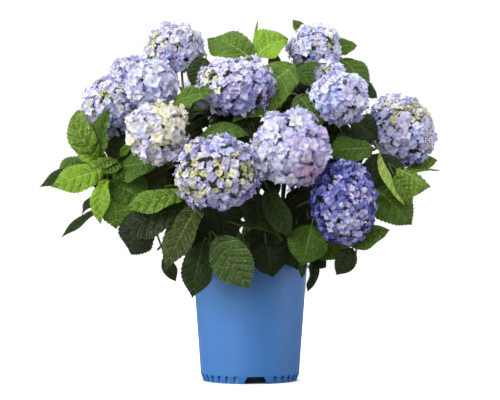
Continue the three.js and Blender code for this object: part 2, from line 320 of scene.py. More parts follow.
class PetalTint(Enum):
    """The colours that petals come in: body, eye and rim."""

    ICE = ("ecedfc", "e8eaca", "ccd0f4")
    LILAC = ("e4e2fa", "e4e6cc", "bfbbee")
    MAUVE = ("d8d2f2", "dedcce", "aea4e2")
    SKY = ("cbd4fa", "dfe6da", "9cabee")
    VIOLET = ("b8b2e6", "c8c8d0", "8880cc")
    DEEP = ("888dd2", "aab2dc", "6068bc")
    INK = ("5055a2", "7a84c4", "3a3e88")
    WHITE = ("f2f2f9", "ecedc2", "d8d6f2")
    CREAM = ("f6f3dc", "e4e396", "e6e0ea")
    GREENISH = ("dfdfae", "c3ca6a", "d2ceb8")
    PINK = ("ead9f4", "e8e0d4", "ccb2e4")
    ROSE = ("dcb0cf", "dcc2cb", "bc7eac")


@dataclass(frozen=True)
class LeafFinish:
    """Glossy quilted leaves with sunken veins and a paler matt underside, with painted shade in the creases
    and painted light on the quilted blade.

    Widths across are shares of half the blade. Widths along are shares of the gap between two side veins.
    """

    midrib: Range = (0.012, 0.060)
    side_vein: float = 0.06
    valley: Range = (0.03, 0.26)
    shadow: Range = (0.04, 0.30)
    cells: Point = (17.0, 13.0, 1.0)
    cell_edge: float = 0.36
    crease: float = 0.8
    mottle: Range = (0.78, 1.24)
    tone: float = 1.10
    gloss: Range = (0.40, 0.54)
    depth: float = 0.0042
    through: float = 0.13
    sunlit: Colour = (0.40, 0.60, 0.04, 1.0)
    underveins: Colour = (0.50, 0.60, 0.30, 1.0)

    def veins(self) -> bpy.types.NodeTree:
        """Make the shared vein pattern, with painted shade in the creases and beside the side veins.

        Returns:
            The node group.
        """
        graph, takes, gives = effect(
            "leaf veins",
            {"Blade": COLOUR, "Veins": COLOUR, "Midrib": COLOUR, "Underside": COLOUR, "Quilting": VALUE},
            {"Colour": COLOUR, "Below": COLOUR, "Height": VALUE, "Roughness": VALUE},
        )
        place, across, along = graph.on_surface()
        side = graph.from_middle(across)
        rib = graph.between(side, *self.midrib, 1.0, 0.0)
        step = graph.maths("PINGPONG", graph.times(along, float(LEAF_VEINS)), 0.5)
        lateral = graph.between(step, 0.0, self.side_vein, 1.0, 0.0)
        lateral = graph.times(lateral, graph.between(side, 0.82, 1.0, 1.0, 0.25))
        veins = graph.maths("MAXIMUM", rib, graph.times(lateral, 0.8), clamp=True)

        net = {"Vector": graph.stretched(place, self.cells), "Scale": 1.0, "Randomness": 0.8}
        edge = graph.joined("ShaderNodeTexVoronoi", net, feature="DISTANCE_TO_EDGE")["Distance"]
        cell = graph.between(edge, 0.0, self.cell_edge)
        creases = graph.times(graph.maths("SUBTRACT", 1.0, cell), self.crease)
        valley = graph.maths("MAXIMUM", graph.between(step, *self.valley, 1.0, 0.0), creases)
        beside = graph.times(graph.between(step, *self.shadow, 1.0, 0.0), self.crease)
        slope = graph.maths("MAXIMUM", beside, creases)

        # Painted shade in the quilting's creases and beside the side veins, and painted light on the quilted
        # blade between them.
        painted_shade = graph.maths("MULTIPLY", graph.times(slope, takes["Quilting"]), 0.50, clamp=True)
        lit = graph.maths("ADD", graph.times(takes["Quilting"], 0.14), self.tone)
        mottle = graph.noise(graph.stretched(place, (2.2, 4.5, 1.0)), 1.0, 3.0)
        tone = graph.times(graph.between(mottle, 0.3, 0.7, *self.mottle), graph.maths("SUBTRACT", lit, painted_shade))
        blade = graph.toned(takes["Blade"], tone)
        blade = graph.blend(graph.between(side, 0.90, 1.0, 0.0, 0.35), blade, takes["Veins"])
        blade = graph.blend(graph.times(lateral, 0.72), blade, takes["Veins"])
        graph.feed(gives["Colour"], graph.blend(graph.times(rib, 0.85), blade, takes["Midrib"]))
        graph.feed(gives["Below"], graph.blend(graph.times(veins, 0.4), takes["Underside"], self.underveins))
        graph.feed(gives["Height"], graph.maths("SUBTRACT", 1.0, valley))
        graph.feed(gives["Roughness"], graph.between(mottle, 0.3, 0.7, *self.gloss))
        return graph.tree

    def make(self, tint: LeafTint, veins: bpy.types.NodeTree) -> bpy.types.Material:
        """Dress one green.

        Args:
            tint: Which green.
            veins: The shared vein pattern.

        Returns:
            The material.
        """
        green = tint.value
        titles = ("Blade", "Veins", "Midrib", "Underside")
        codes = (green.blade, green.veins, green.midrib, green.below)
        values = dict(zip(titles, map(linear, codes))) | {"Quilting": green.quilting}
        finish = Finish(f"leaf_{tint.name.lower()}", 0.4, 0.28)
        graph = finish.graph
        veined = graph.joined("ShaderNodeGroup", values, node_tree=veins)
        back = graph.node("ShaderNodeNewGeometry").outputs["Backfacing"]
        colour = graph.blend(back, veined["Colour"], veined["Below"])
        finish.paint("Base Color", colour)
        finish.paint("Roughness", graph.maths("MAXIMUM", veined["Roughness"], graph.times(back, 0.7)))
        finish.relief(veined["Height"], self.depth * green.quilting)
        finish.let_light_through(graph.blend(0.35, colour, self.sunlit), self.through)
        return finish.material


@dataclass(frozen=True)
class PetalFinish:
    """Thin soft petals with fine veins, a pale eye and a deeper rim."""

    rim: Range = (0.50, 0.95)
    rim_share: float = 0.90
    eye: Range = (0.06, 0.34)
    eye_share: float = 0.85
    tone: Range = (0.94, 1.06)
    depth: float = 0.0006
    through: float = 0.28

    def veins(self) -> bpy.types.NodeTree:
        """Make the shared petal pattern.

        Returns:
            The node group.
        """
        graph, takes, gives = effect(
            "petal veins",
            {"Body": COLOUR, "Eye": COLOUR, "Rim": COLOUR},
            {"Colour": COLOUR, "Height": VALUE},
        )
        place, across, along = graph.on_surface()
        streaks = graph.noise(graph.stretched(place, (11.0, 1.4, 1.0)), 1.0, 3.0)
        cloud = graph.noise(graph.stretched(place, (2.0, 2.0, 1.0)), 1.3, 1.0)
        far = graph.maths("MAXIMUM", graph.from_middle(across), along)
        rim = graph.between(far, *self.rim, 0.0, self.rim_share)
        rim = graph.times(rim, graph.between(cloud, 0.3, 0.65, 0.35, 1.0))
        colour = graph.blend(rim, takes["Body"], takes["Rim"])
        colour = graph.blend(graph.between(along, *self.eye, self.eye_share, 0.0), colour, takes["Eye"])
        graph.feed(gives["Colour"], graph.toned(colour, graph.between(streaks, 0.25, 0.75, *self.tone)))
        graph.feed(gives["Height"], streaks)
        return graph.tree

    def make(self, tint: PetalTint, veins: bpy.types.NodeTree) -> bpy.types.Material:
        """Dress one petal colour.

        Args:
            tint: Which colour.
            veins: The shared petal pattern.

        Returns:
            The material.
        """
        values = dict(zip(("Body", "Eye", "Rim"), map(linear, tint.value)))
        finish = Finish(f"petal_{tint.name.lower()}", 0.62, 0.25)
        veined = finish.graph.joined("ShaderNodeGroup", values, node_tree=veins)
        finish.paint("Base Color", veined["Colour"])
        finish.relief(veined["Height"], self.depth, 0.7)
        finish.let_light_through(veined["Colour"], self.through)
        return finish.material


@dataclass(frozen=True)
class BarkFinish:
    """Smooth green shoots or tan woody canes, with raised streaks. The depth is in metres."""

    name: str
    skin: str
    streak: str
    depth: float
    grain: Point = (260.0, 260.0, 32.0)
    tone: Range = (0.72, 1.12)

    def make(self) -> bpy.types.Material:
        """Make the bark.

        Returns:
            The material.
        """
        finish = Finish(self.name, 0.68, 0.3)
        graph = finish.graph
        place = graph.in_object()
        streaks = graph.noise(graph.stretched(place, self.grain), 1.0, 4.0, 0.6)
        patches = graph.noise(place, 26.0, 2.0)
        skin = graph.blend(graph.between(streaks, 0.42, 0.62), linear(self.skin), linear(self.streak))
        finish.paint("Base Color", graph.toned(skin, graph.between(patches, 0.35, 0.65, *self.tone)))
        finish.relief(streaks, self.depth)
        return finish.material


@dataclass(frozen=True)
class MixFinish:
    """Dark peaty potting mix."""

    peat: str = "17110b"
    crumb: str = "4a3727"
    damp: str = "2c2018"
    depth: float = 0.003

    def make(self) -> bpy.types.Material:
        """Make the mix's surface.

        Returns:
            The material.
        """
        finish = Finish("peat", 0.95, 0.15)
        graph = finish.graph
        place = graph.in_object()
        crumbs = graph.noise(place, 230.0, 4.0, 0.7)
        patches = graph.noise(place, 28.0, 3.0)
        dark = graph.blend(graph.between(crumbs, 0.38, 0.66), linear(self.peat), linear(self.crumb))
        finish.paint("Base Color", graph.blend(graph.between(patches, 0.5, 0.75), dark, linear(self.damp)))
        finish.relief(crumbs, self.depth)
        return finish.material


@dataclass(frozen=True)
class ChipFinish:
    """Bark chips or white perlite grains that lie in the mix."""

    name: str
    colour: str
    grain: Point = (120.0, 300.0, 200.0)
    tone: Range = (0.6, 1.15)
    depth: float = 0.001

    def make(self) -> bpy.types.Material:
        """Make the chips' surface.

        Returns:
            The material.
        """
        finish = Finish(self.name, 0.9, 0.2)
        graph = finish.graph
        grain = graph.noise(graph.stretched(graph.in_object(), self.grain), 1.0, 3.0)
        tone = graph.between(grain, 0.35, 0.65, *self.tone)
        finish.paint("Base Color", graph.toned(linear(self.colour), tone))
        finish.relief(grain, self.depth)
        return finish.material


@dataclass(frozen=True)
class PotFinish:
    """Satin blue moulded plastic with faint draw lines and dust, and painted shade in the hollow under the
    pot.
    """

    blue: str = "3370b3"
    shade: str = "2e6baf"
    dust: str = "8fb2d8"
    # Painted shade for the hollow under the pot, and where it lies.
    soil: str = "0e1420"
    dust_share: float = 0.10
    draw_lines: Point = (420.0, 420.0, 9.0)
    gloss: Range = (0.36, 0.50)
    depth: float = 0.00025
    stained_radius: Range = (0.0785, 0.0800)
    stained_height: Range = (0.0124, 0.0130)

    def make(self) -> bpy.types.Material:
        """Make the plastic.

        Returns:
            The material.
        """
        finish = Finish("blue_plastic", 0.42, 0.7)
        graph = finish.graph
        place = graph.in_object()
        clouds = graph.noise(place, 9.0, 3.0)
        lines = graph.noise(graph.stretched(place, self.draw_lines), 1.0, 2.0)
        specks = graph.noise(place, 900.0, 1.0)
        colour = graph.blend(graph.between(clouds, 0.35, 0.7), linear(self.blue), linear(self.shade))
        dusty = graph.between(lines, 0.55, 0.8, 0.0, self.dust_share)
        colour = graph.blend(dusty, colour, linear(self.dust))
        # Painted shade: the hollow under the pot is darkened to navy black.
        colour = graph.blend(self.stain(graph, place), colour, linear(self.soil))
        finish.paint("Base Color", colour)
        finish.paint("Roughness", graph.between(clouds, 0.3, 0.7, *self.gloss))
        height = graph.maths("ADD", graph.times(lines, 0.5), graph.times(specks, 0.5))
        finish.relief(height, self.depth, 0.6)
        return finish.material

    def stain(self, graph: Graph, place: Socket) -> Socket:
        """Give where shade is painted into the hollow under the pot, darkening the plastic to navy black.

        Args:
            graph: The material's nodes.
            place: The place in the pot.

        Returns:
            How much stain there is.
        """
        radius = graph.length(graph.stretched(place, (1.0, 1.0, 0.0)))
        inside = graph.between(radius, *self.stained_radius, 1.0, 0.0)
        return graph.times(inside, graph.between(graph.split(place)[2], *self.stained_height, 0.92, 0.0))


# --------------------------------------
# Repeated shapes


def placed(name: str, data: bpy.types.ID) -> bpy.types.Object:
    """Put a new object in the scene.

    Args:
        name: The object's name.
        data: Its mesh, light or camera.

    Returns:
        The object.
    """
    made = bpy.data.objects.new(name, data)
    bpy.context.collection.objects.link(made)
    return made


def as_object(name: str, bm: bmesh.types.BMesh) -> bpy.types.Object:
    """Turn a bmesh into an object in the scene, and free it.

    Args:
        name: The object's name.
        bm: Its shape.

    Returns:
        The object.
    """
    mesh = bpy.data.meshes.new(name)
    bm.to_mesh(mesh)
    bm.free()
    return placed(name, mesh)


def turned_by(bm: bmesh.types.BMesh, verts: list, angle: float) -> None:
    """Turn vertices about the upright axis by an angle in radians."""
    bmesh.ops.rotate(bm, verts=verts, cent=(0, 0, 0), matrix=Matrix.Rotation(angle, 3, "Z"))


def lay_map(
    layer: bmesh.types.BMLayerItem, verts: list, middle: Range = (0.5, 0.5), scale: Range = (0.5, 0.5)
) -> None:
    """Lay the faces round some vertices flat on a map, as they are seen from above.

    Args:
        layer: The map.
        verts: The vertices.
        middle: Where the shape's middle goes.
        scale: How large one unit is on the map.
    """
    for face in {f for v in verts for f in v.link_faces}:
        for loop in face.loops:
            spot = loop.vert.co
            loop[layer].uv = (middle[0] + spot.x * scale[0], middle[1] + spot.y * scale[1])


@dataclass(frozen=True)
class Pattern:
    """A small mesh as arrays, ready to be repeated."""

    points: Array
    corners: Array
    sizes: Array
    map: Array

    @classmethod
    def of(cls, bm: bmesh.types.BMesh) -> "Pattern":
        """Read a bmesh and free it.

        Args:
            bm: The shape, with its pattern map if it has one.

        Returns:
            The same shape as arrays.
        """
        bm.verts.index_update()
        layer = bm.loops.layers.uv.active
        corners = [loop for face in bm.faces for loop in face.loops]
        flat = [tuple(loop[layer].uv) if layer else (0.5, 0.5) for loop in corners]
        made = cls(
            np.array([v.co for v in bm.verts], dtype=float),
            np.array([loop.vert.index for loop in corners], dtype=np.int32),
            np.array([len(face.loops) for face in bm.faces], dtype=np.int32),
            np.array(flat, dtype=np.float32),
        )
        bm.free()
        return made


class Swarm:
    """Many small shapes joined into one mesh, each in a finish of its own choosing."""

    tile_margin = 0.03

    def __init__(
        self, name: str, finishes: list[bpy.types.Material], tiles: tuple[int, int] = (1, 1)
    ) -> None:
        """Start an empty piece.

        Args:
            name: The piece's name.
            finishes: Its material slots.
            tiles: How the finishes' patches are laid out on the bake map.
        """
        self.name, self.finishes, self.tiles = name, finishes, tiles
        self.points: list[Array] = []
        self.corners: list[Array] = []
        self.sizes: list[Array] = []
        self.slots: list[Array] = []
        self.maps: list[Array] = []
        self.bakes: list[Array] = []
        self.total = 0

    def add(self, pattern: Pattern, points: Array, slots: Array) -> None:
        """Add copies of a pattern.

        Args:
            pattern: The shape that is repeated.
            points: Each copy's points, copies first.
            slots: Each copy's material slot.
        """
        copies, each = points.shape[:2]
        starts = self.total + np.arange(copies, dtype=np.int32) * each
        self.points.append(points.reshape(-1, 3))
        self.corners.append((pattern.corners[None, :] + starts[:, None]).ravel())
        self.sizes.append(np.tile(pattern.sizes, copies))
        self.slots.append(np.repeat(np.asarray(slots, dtype=np.int32), len(pattern.sizes)))
        self.maps.append(np.tile(pattern.map, (copies, 1)))
        columns, rows = self.tiles
        corner = np.stack([slots % columns, slots // columns], 1)[:, None, :]
        inner = self.tile_margin + (1 - 2 * self.tile_margin) * pattern.map[None]
        self.bakes.append(((corner + inner) / (columns, rows)).reshape(-1, 2))
        self.total += copies * each

    def build(self) -> bpy.types.Object:
        """Join the copies into one object.

        Returns:
            The object, in the scene.
        """
        mesh = bpy.data.meshes.new(self.name)
        points, corners, sizes = (np.concatenate(x) for x in (self.points, self.corners, self.sizes))
        mesh.vertices.add(len(points))
        mesh.vertices.foreach_set("co", points.astype(np.float32).ravel())
        mesh.loops.add(len(corners))
        mesh.loops.foreach_set("vertex_index", corners)
        mesh.polygons.add(len(sizes))
        mesh.polygons.foreach_set("loop_start", (np.cumsum(sizes) - sizes).astype(np.int32))
        for material in self.finishes:
            mesh.materials.append(material)
        mesh.polygons.foreach_set("material_index", np.concatenate(self.slots))
        for title, rows in ((PATTERN_MAP, self.maps), (BAKE_MAP, self.bakes)):
            if title == BAKE_MAP and self.tiles == (1, 1):
                continue
            layer = mesh.uv_layers.new(name=title)
            layer.uv.foreach_set("vector", np.concatenate(rows).astype(np.float32).ravel())
        mesh.update(calc_edges=True)
        mesh.shade_smooth()
        return placed(self.name, mesh)


def settle(piece: bpy.types.Object, nodes: list[str]) -> None:
    """Tell the frame what a finished piece is, and log it.

    Args:
        piece: The finished piece.
        nodes: The CAD nodes that it stands for.
    """
    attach(piece, "root")
    if nodes:
        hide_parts(*nodes)
    piece.data.calc_loop_triangles()
    LOG.info("%s: %d triangles, stands for %d nodes", piece.name, len(piece.data.loop_triangles), len(nodes))


class Tubes:
    """Round stems that follow smooth curves."""

    def __init__(self, sides: int, steps: int) -> None:
        """Make the straight tube that is bent along each curve.

        Args:
            sides: Corners round it.
            steps: Lengths along it.
        """
        bm = bmesh.new()
        bmesh.ops.create_cone(bm, cap_ends=False, segments=sides, radius1=1.0, radius2=1.0, depth=1.0)
        upright = [e for e in bm.edges if abs(e.verts[0].co.z - e.verts[1].co.z) > 0.5]
        if steps > 1:
            bmesh.ops.subdivide_edges(bm, edges=upright, cuts=steps - 1)
        self.pattern = Pattern.of(bm)
        self.steps = steps
        self.level = np.rint((self.pattern.points[:, 2] + 0.5) * steps).astype(int)

    def taper(self, radii: Range, count: int) -> Array:
        """Give the same taper to a number of tubes."""
        return np.broadcast_to(np.linspace(*radii, self.steps + 1), (count, self.steps + 1))

    def bend(self, curves: Array, radii: Array) -> Array:
        """Bend a tube along each curve.

        Args:
            curves: Points along each curve, one more than the steps.
            radii: The tube's radius at each of those points.

        Returns:
            The tubes' points, tubes first.
        """
        along = unit(np.gradient(curves, axis=1))
        chord = unit(curves[:, -1] - curves[:, 0])
        spare = np.where(np.abs(chord[:, 2:3]) > 0.8, [[1.0, 0.0, 0.0]], [[0.0, 0.0, 1.0]])
        first = unit(np.cross(along, spare[:, None, :]))
        second = np.cross(along, first)
        x, y = self.pattern.points[None, :, 0:1], self.pattern.points[None, :, 1:2]
        round_it = x * first[:, self.level] + y * second[:, self.level]
        return curves[:, self.level] + radii[:, self.level, None] * round_it


def bezier(start: Array, pull: Array, end: Array, steps: int) -> Array:
    """Follow a curve from one point to another that is pulled towards a third.

    Args:
        start: Where it begins.
        pull: The point that it leans towards.
        end: Where it ends.
        steps: Lengths along it.

    Returns:
        Points along the curve, one more than the steps, with curves first where rows of points are given.
    """
    t = np.linspace(0.0, 1.0, steps + 1)[:, None]
    a, b, c = (np.asarray(x, dtype=float)[..., None, :] for x in (start, pull, end))
    return (1 - t) ** 2 * a + 2 * t * (1 - t) * b + t**2 * c


# --------------------------------------
# Leaves


@dataclass
class Leaf:
    """One leaf blade from its foot to its tip. Angles are in radians."""

    foot: Point
    tip: Point
    width: float
    facing: Point = (0.0, -0.6, 0.8)
    tint: LeafTint = LeafTint.MEADOW
    fold: float = 0.25
    arch: float = 0.5
    twist: float = 0.0
    wave: float = 0.06
    quilt: float = 1.0


@dataclass(frozen=True)
class Blade:
    """The leaf's outline and relief on a grid of rows that follow the side veins."""

    across: int = 8
    rows_per_vein: int = 4
    sweep: float = 0.85
    drip: float = 0.11
    teeth: float = 0.06
    bulge: float = 0.0027
    shoulder: float = 0.6
    taper: float = 1.25
    fullness: float = 0.3163
    foot_width: float = 0.006
    waves: float = 1.6
    curl: float = 0.10

    def pattern(self) -> Pattern:
        """Lay out the grid.

        Returns:
            The grid, from -1 to 1 across and from 0 to 1 along.
        """
        bm = bmesh.new()
        rows = LEAF_VEINS * self.rows_per_vein
        bmesh.ops.create_grid(bm, x_segments=self.across, y_segments=rows, size=1.0)
        lay_map(bm.loops.layers.uv.new(PATTERN_MAP), bm.verts)
        bmesh.ops.translate(bm, verts=bm.verts, vec=(0.0, 1.0, 0.0))
        bmesh.ops.scale(bm, verts=bm.verts, vec=(1.0, 0.5, 1.0))
        return Pattern.of(bm)

    def shape(self, grid: Array, leaves: list[Leaf]) -> Array:
        """Bend the grid into each leaf, at its place.

        Args:
            grid: The pattern's points.
            leaves: The leaves.

        Returns:
            Each leaf's points, leaves first.
        """
        u, v = grid[None, :, 0], grid[None, :, 1]
        places = [(f.foot, f.tip, f.facing) for f in leaves]
        foot, tip, hint = np.array(places, dtype=float).transpose(1, 0, 2)
        shapes = [(f.width, f.fold, f.arch, f.twist, f.wave, f.quilt) for f in leaves]
        width, fold, arch, twist, wave, quilt = np.array(shapes, dtype=float).T[:, :, None]
        arch = np.where(np.abs(arch) < 0.02, 0.02, arch)
        chord = np.linalg.norm(tip - foot, axis=1)[:, None]
        length = chord * arch / (2 * np.sin(arch / 2))

        side = np.abs(u)
        outline = v**self.shoulder * (1 - v) ** self.taper / self.fullness + self.foot_width
        row = np.rint(v * LEAF_VEINS * self.rows_per_vein).astype(int)
        tooth = (side > 0.99) * (row % 2 == 1) * self.teeth
        x = u * outline * width / 2 * (1 + tooth)
        swept = v + self.sweep * v * (1 - v) * side**1.25
        s = (swept + self.drip * v**6 + 0.2 * tooth) / (1 + self.drip)

        relief = np.abs(np.sin(np.pi * LEAF_VEINS * v)) ** 0.8 * np.sin(np.pi * side**0.9) ** 0.6
        z = self.bulge * quilt * relief * np.minimum(1.0, outline * 1.5)
        ripple = np.sin(2 * np.pi * (self.waves * s + 3 * wave)) * wave * width * u**3
        z = z + ripple * np.minimum(1.0, outline * 1.3)
        z = z - self.curl * width * side**4 * outline

        lean = fold * (1 - 0.35 * s)
        x, z = x * np.cos(lean) - np.sign(u) * z * np.sin(lean), z * np.cos(lean) + np.abs(x) * np.sin(lean)
        x, z = self.turned(x, z, twist * s)
        bend = arch * s
        y = length * np.sin(bend) / arch + z * np.sin(bend)
        z = -length * (1 - np.cos(bend)) / arch + z * np.cos(bend)
        y, z = self.turned(y, z, arch / 2)

        ey = unit(tip - foot)
        ez = unit(hint - np.sum(hint * ey, axis=1, keepdims=True) * ey)
        axes = zip((x, y, z), (np.cross(ey, ez), ey, ez))
        points = foot[:, None]
        for amount, axis in axes:
            points = points + amount[..., None] * axis[:, None]
        return points

    def turned(
        self, first: Array, second: Array, angle: Array
    ) -> tuple[Array, Array]:
        """Turn pairs of numbers by an angle."""
        cos, sin = np.cos(angle), np.sin(angle)
        return first * cos - second * sin, first * sin + second * cos


SIMPLE_BLADE = Blade(across=4, rows_per_vein=2, teeth=0.04)
FULL_BLADE = Blade()
T = LeafTint


def backing(foot: Point, tip: Point, width: float) -> Leaf:
    """Set a leaf in the SHADE green, painted shade, that closes the view behind the lit ones."""
    return Leaf(foot, tip, width, (0.0, -0.9, 0.4), T.SHADE, 0.2, 0.4)


def sidelong(foot: Point, tip: Point, width: float, side: float) -> Leaf:
    """Set a deep green leaf that faces to one side."""
    return Leaf(foot, tip, width, (side, -0.35, 0.2), T.DEEP, 0.2, 0.4)


# Leaves that make the shrub's outline and front, set one by one. Feet and tips are in metres.
LEFT_SPRAY = [
    Leaf((-0.262, -0.108, 0.386), (-0.354, -0.138, 0.352), 0.056, (-0.15, -0.95, 0.35), T.LIME, 0.1, 0.4),
    Leaf((-0.3, -0.066, 0.394), (-0.387, -0.075, 0.357), 0.036, (0.0, -0.75, 0.65), T.DEEP, 0.3, 0.5),
    Leaf((-0.288, -0.062, 0.4), (-0.358, -0.072, 0.372), 0.068, (0.0, -0.75, 0.65), T.MEADOW, 0.3, 0.7),
    Leaf((-0.262, -0.09, 0.398), (-0.322, -0.095, 0.434), 0.042, (0.1, -0.85, 0.5), T.LIME, 0.2, 0.5),
    Leaf(
        (-0.274, -0.088, 0.41), (-0.317, -0.075, 0.501), 0.054, (-0.55, -0.75, 0.3),
        T.FRESH, fold=0.35, arch=2.2, twist=0.1, wave=0.05, quilt=1.6,
    ),
    Leaf((-0.267, -0.1, 0.41), (-0.252, -0.138, 0.494), 0.05, (-0.65, -0.75, 0.0), T.MEADOW, 0.75, 0.4),
    Leaf(
        (-0.256, -0.125, 0.368), (-0.262, -0.162, 0.285), 0.037, (-0.5, -0.85, 0.2),
        T.LIME, fold=0.45, arch=0.9, twist=0.3, wave=0.1,
    ),
    Leaf((-0.256, -0.085, 0.372), (-0.282, -0.09, 0.318), 0.044, (-0.5, -0.8, 0.4), T.SHADE, 0.2, 0.4),
    Leaf((-0.266, -0.1, 0.316), (-0.337, -0.13, 0.262), 0.03, (-0.35, -0.6, 0.7), T.DEEP, 0.6, 0.15),
    Leaf((-0.246, -0.118, 0.368), (-0.236, -0.155, 0.277), 0.078, (0.2, -0.95, 0.25), T.BRIGHT, 0.3, 0.4),
    Leaf((-0.24, -0.112, 0.372), (-0.19, -0.14, 0.322), 0.07, (0.1, -0.9, 0.5), T.MEADOW, 0.2, 0.4),
    backing((-0.225, -0.085, 0.372), (-0.29, -0.088, 0.362), 0.07),
    Leaf(
        (-0.238, -0.11, 0.387), (-0.16, -0.15, 0.392), 0.074, (0.1, -0.85, 0.55),
        T.MEADOW, fold=0.2, arch=0.6, wave=0.05, quilt=0.4,
    ),
    backing((-0.248, -0.082, 0.396), (-0.208, -0.086, 0.47), 0.078),
    Leaf((-0.236, -0.1, 0.412), (-0.212, -0.112, 0.434), 0.018, (-0.3, -0.9, 0.3), T.LIME, 0.4, 0.4),
    Leaf((-0.15, -0.105, 0.388), (-0.212, -0.1, 0.348), 0.072, (0.0, -0.8, 0.6), T.SHADE, 0.2, 0.5),
    Leaf(
        (-0.238, -0.116, 0.396), (-0.276, -0.146, 0.384), 0.032, (-0.2, -0.7, 0.7),
        T.FRESH, fold=0.7, arch=0.6, twist=0.2, wave=0.05, quilt=2.2,
    ),
    Leaf(
        (-0.232, -0.118, 0.39), (-0.262, -0.148, 0.374), 0.034, (-0.2, -0.8, 0.6),
        T.BRIGHT, fold=0.6, arch=0.7, twist=0.1, wave=0.05, quilt=2.2,
    ),
    Leaf(
        (-0.228, -0.114, 0.386), (-0.24, -0.15, 0.364), 0.034, (0.2, -0.8, 0.6),
        T.MEADOW, fold=0.6, arch=0.7, twist=0.1, wave=0.05, quilt=2.2,
    ),
]
FRONT_LEFT_SPRAY = [
    Leaf(
        (-0.111, -0.195, 0.336), (-0.216, -0.225, 0.306), 0.052, (-0.1, -0.75, 0.65),
        T.FRESH, fold=0.2, arch=0.3, wave=0.08, quilt=1.8,
    ),
    Leaf(
        (-0.111, -0.185, 0.307), (-0.218, -0.195, 0.262), 0.084, (-0.1, -0.75, 0.65),
        T.SHADE, fold=0.2, arch=1.2, quilt=1.4,
    ),
    Leaf((-0.172, -0.175, 0.305), (-0.21, -0.145, 0.232), 0.075, (-0.2, -0.9, 0.3), T.SHADE, 0.1, 1.6),
    Leaf((-0.085, -0.215, 0.318), (-0.141, -0.25, 0.203), 0.06, (-0.5, -0.85, 0.25), T.OLIVE, 0.35, 0.4),
    Leaf((-0.146, -0.2, 0.229), (-0.127, -0.2, 0.185), 0.024, (-0.4, -0.9, 0.0), T.SHADE, 0.4, 0.5, 0.7),
    Leaf((-0.081, -0.18, 0.253), (-0.101, -0.165, 0.156), 0.058, (-0.3, -0.95, 0.15), T.DEEP, 0.2, 0.3),
    Leaf(
        (-0.058, -0.215, 0.262), (-0.001, -0.185, 0.172), 0.069, (-0.2, -0.97, 0.1),
        T.COPPER, fold=0.2, arch=0.25, wave=0.03, quilt=1.8,
    ),
    backing((-0.08, -0.14, 0.322), (-0.1, -0.14, 0.24), 0.07),
    sidelong((-0.105, -0.1, 0.3), (-0.108, -0.15, 0.225), 0.064, -0.9),
    sidelong((-0.09, -0.08, 0.27), (-0.088, -0.12, 0.195), 0.056, -0.9),
    backing((-0.06, -0.13, 0.32), (-0.04, -0.14, 0.25), 0.07),
]
FRONT_SPRAY = [
    Leaf((0.028, -0.15, 0.254), (0.04, -0.152, 0.192), 0.06, (0.1, -0.95, 0.2), T.SHADE, 0.15, 0.5),
    Leaf((0.0, -0.185, 0.276), (0.048, -0.19, 0.261), 0.04, (0.2, -0.4, 0.9), T.OLIVE, 0.7, 0.7),
    Leaf((0.03, -0.19, 0.347), (0.072, -0.215, 0.258), 0.046, (-0.6, -0.75, 0.2), T.DEEP, 0.5, 0.4),
    Leaf((0.008, -0.16, 0.34), (0.022, -0.18, 0.262), 0.052, (-0.2, -0.9, 0.4), T.SHADE, 0.3, 0.4),
    Leaf((0.107, -0.19, 0.283), (0.09, -0.19, 0.212), 0.068, (0.1, -0.95, 0.2), T.MEADOW, 0.2, 0.3),
    Leaf((0.158, -0.158, 0.275), (0.124, -0.16, 0.221), 0.056, (0.2, -0.9, 0.3), T.MEADOW, 0.2, 0.4),
    Leaf(
        (0.115, -0.15, 0.228), (0.101, -0.15, 0.166), 0.024, (0.4, -0.8, 0.2),
        T.SHADE, fold=0.7, arch=0.3, twist=0.3, wave=0.12,
    ),
    Leaf((0.11, -0.148, 0.228), (0.134, -0.15, 0.209), 0.028, (0.1, -0.9, 0.3), T.SHADE, 0.3, 0.5),
    Leaf((0.065, -0.13, 0.29), (0.085, -0.135, 0.205), 0.072, (0.0, -0.9, 0.3), T.SHADE, 0.2, 0.4),
    backing((0.074, -0.06, 0.35), (0.124, -0.066, 0.282), 0.066),
    backing((0.05, -0.08, 0.3), (0.012, -0.09, 0.225), 0.066),
    backing((-0.005, -0.1, 0.35), (-0.03, -0.105, 0.29), 0.036),
    backing((0.03, -0.08, 0.385), (0.047, -0.085, 0.335), 0.036),
    sidelong((0.128, -0.095, 0.305), (0.124, -0.15, 0.232), 0.064, 0.9),
    sidelong((0.11, -0.07, 0.285), (0.112, -0.1, 0.205), 0.06, 0.9),
    Leaf((0.085, -0.13, 0.262), (0.09, -0.165, 0.19), 0.056, (0.9, -0.4, 0.1), T.DEEP, 0.2, 0.4),
    backing((0.105, -0.08, 0.3), (0.098, -0.09, 0.235), 0.06),
]
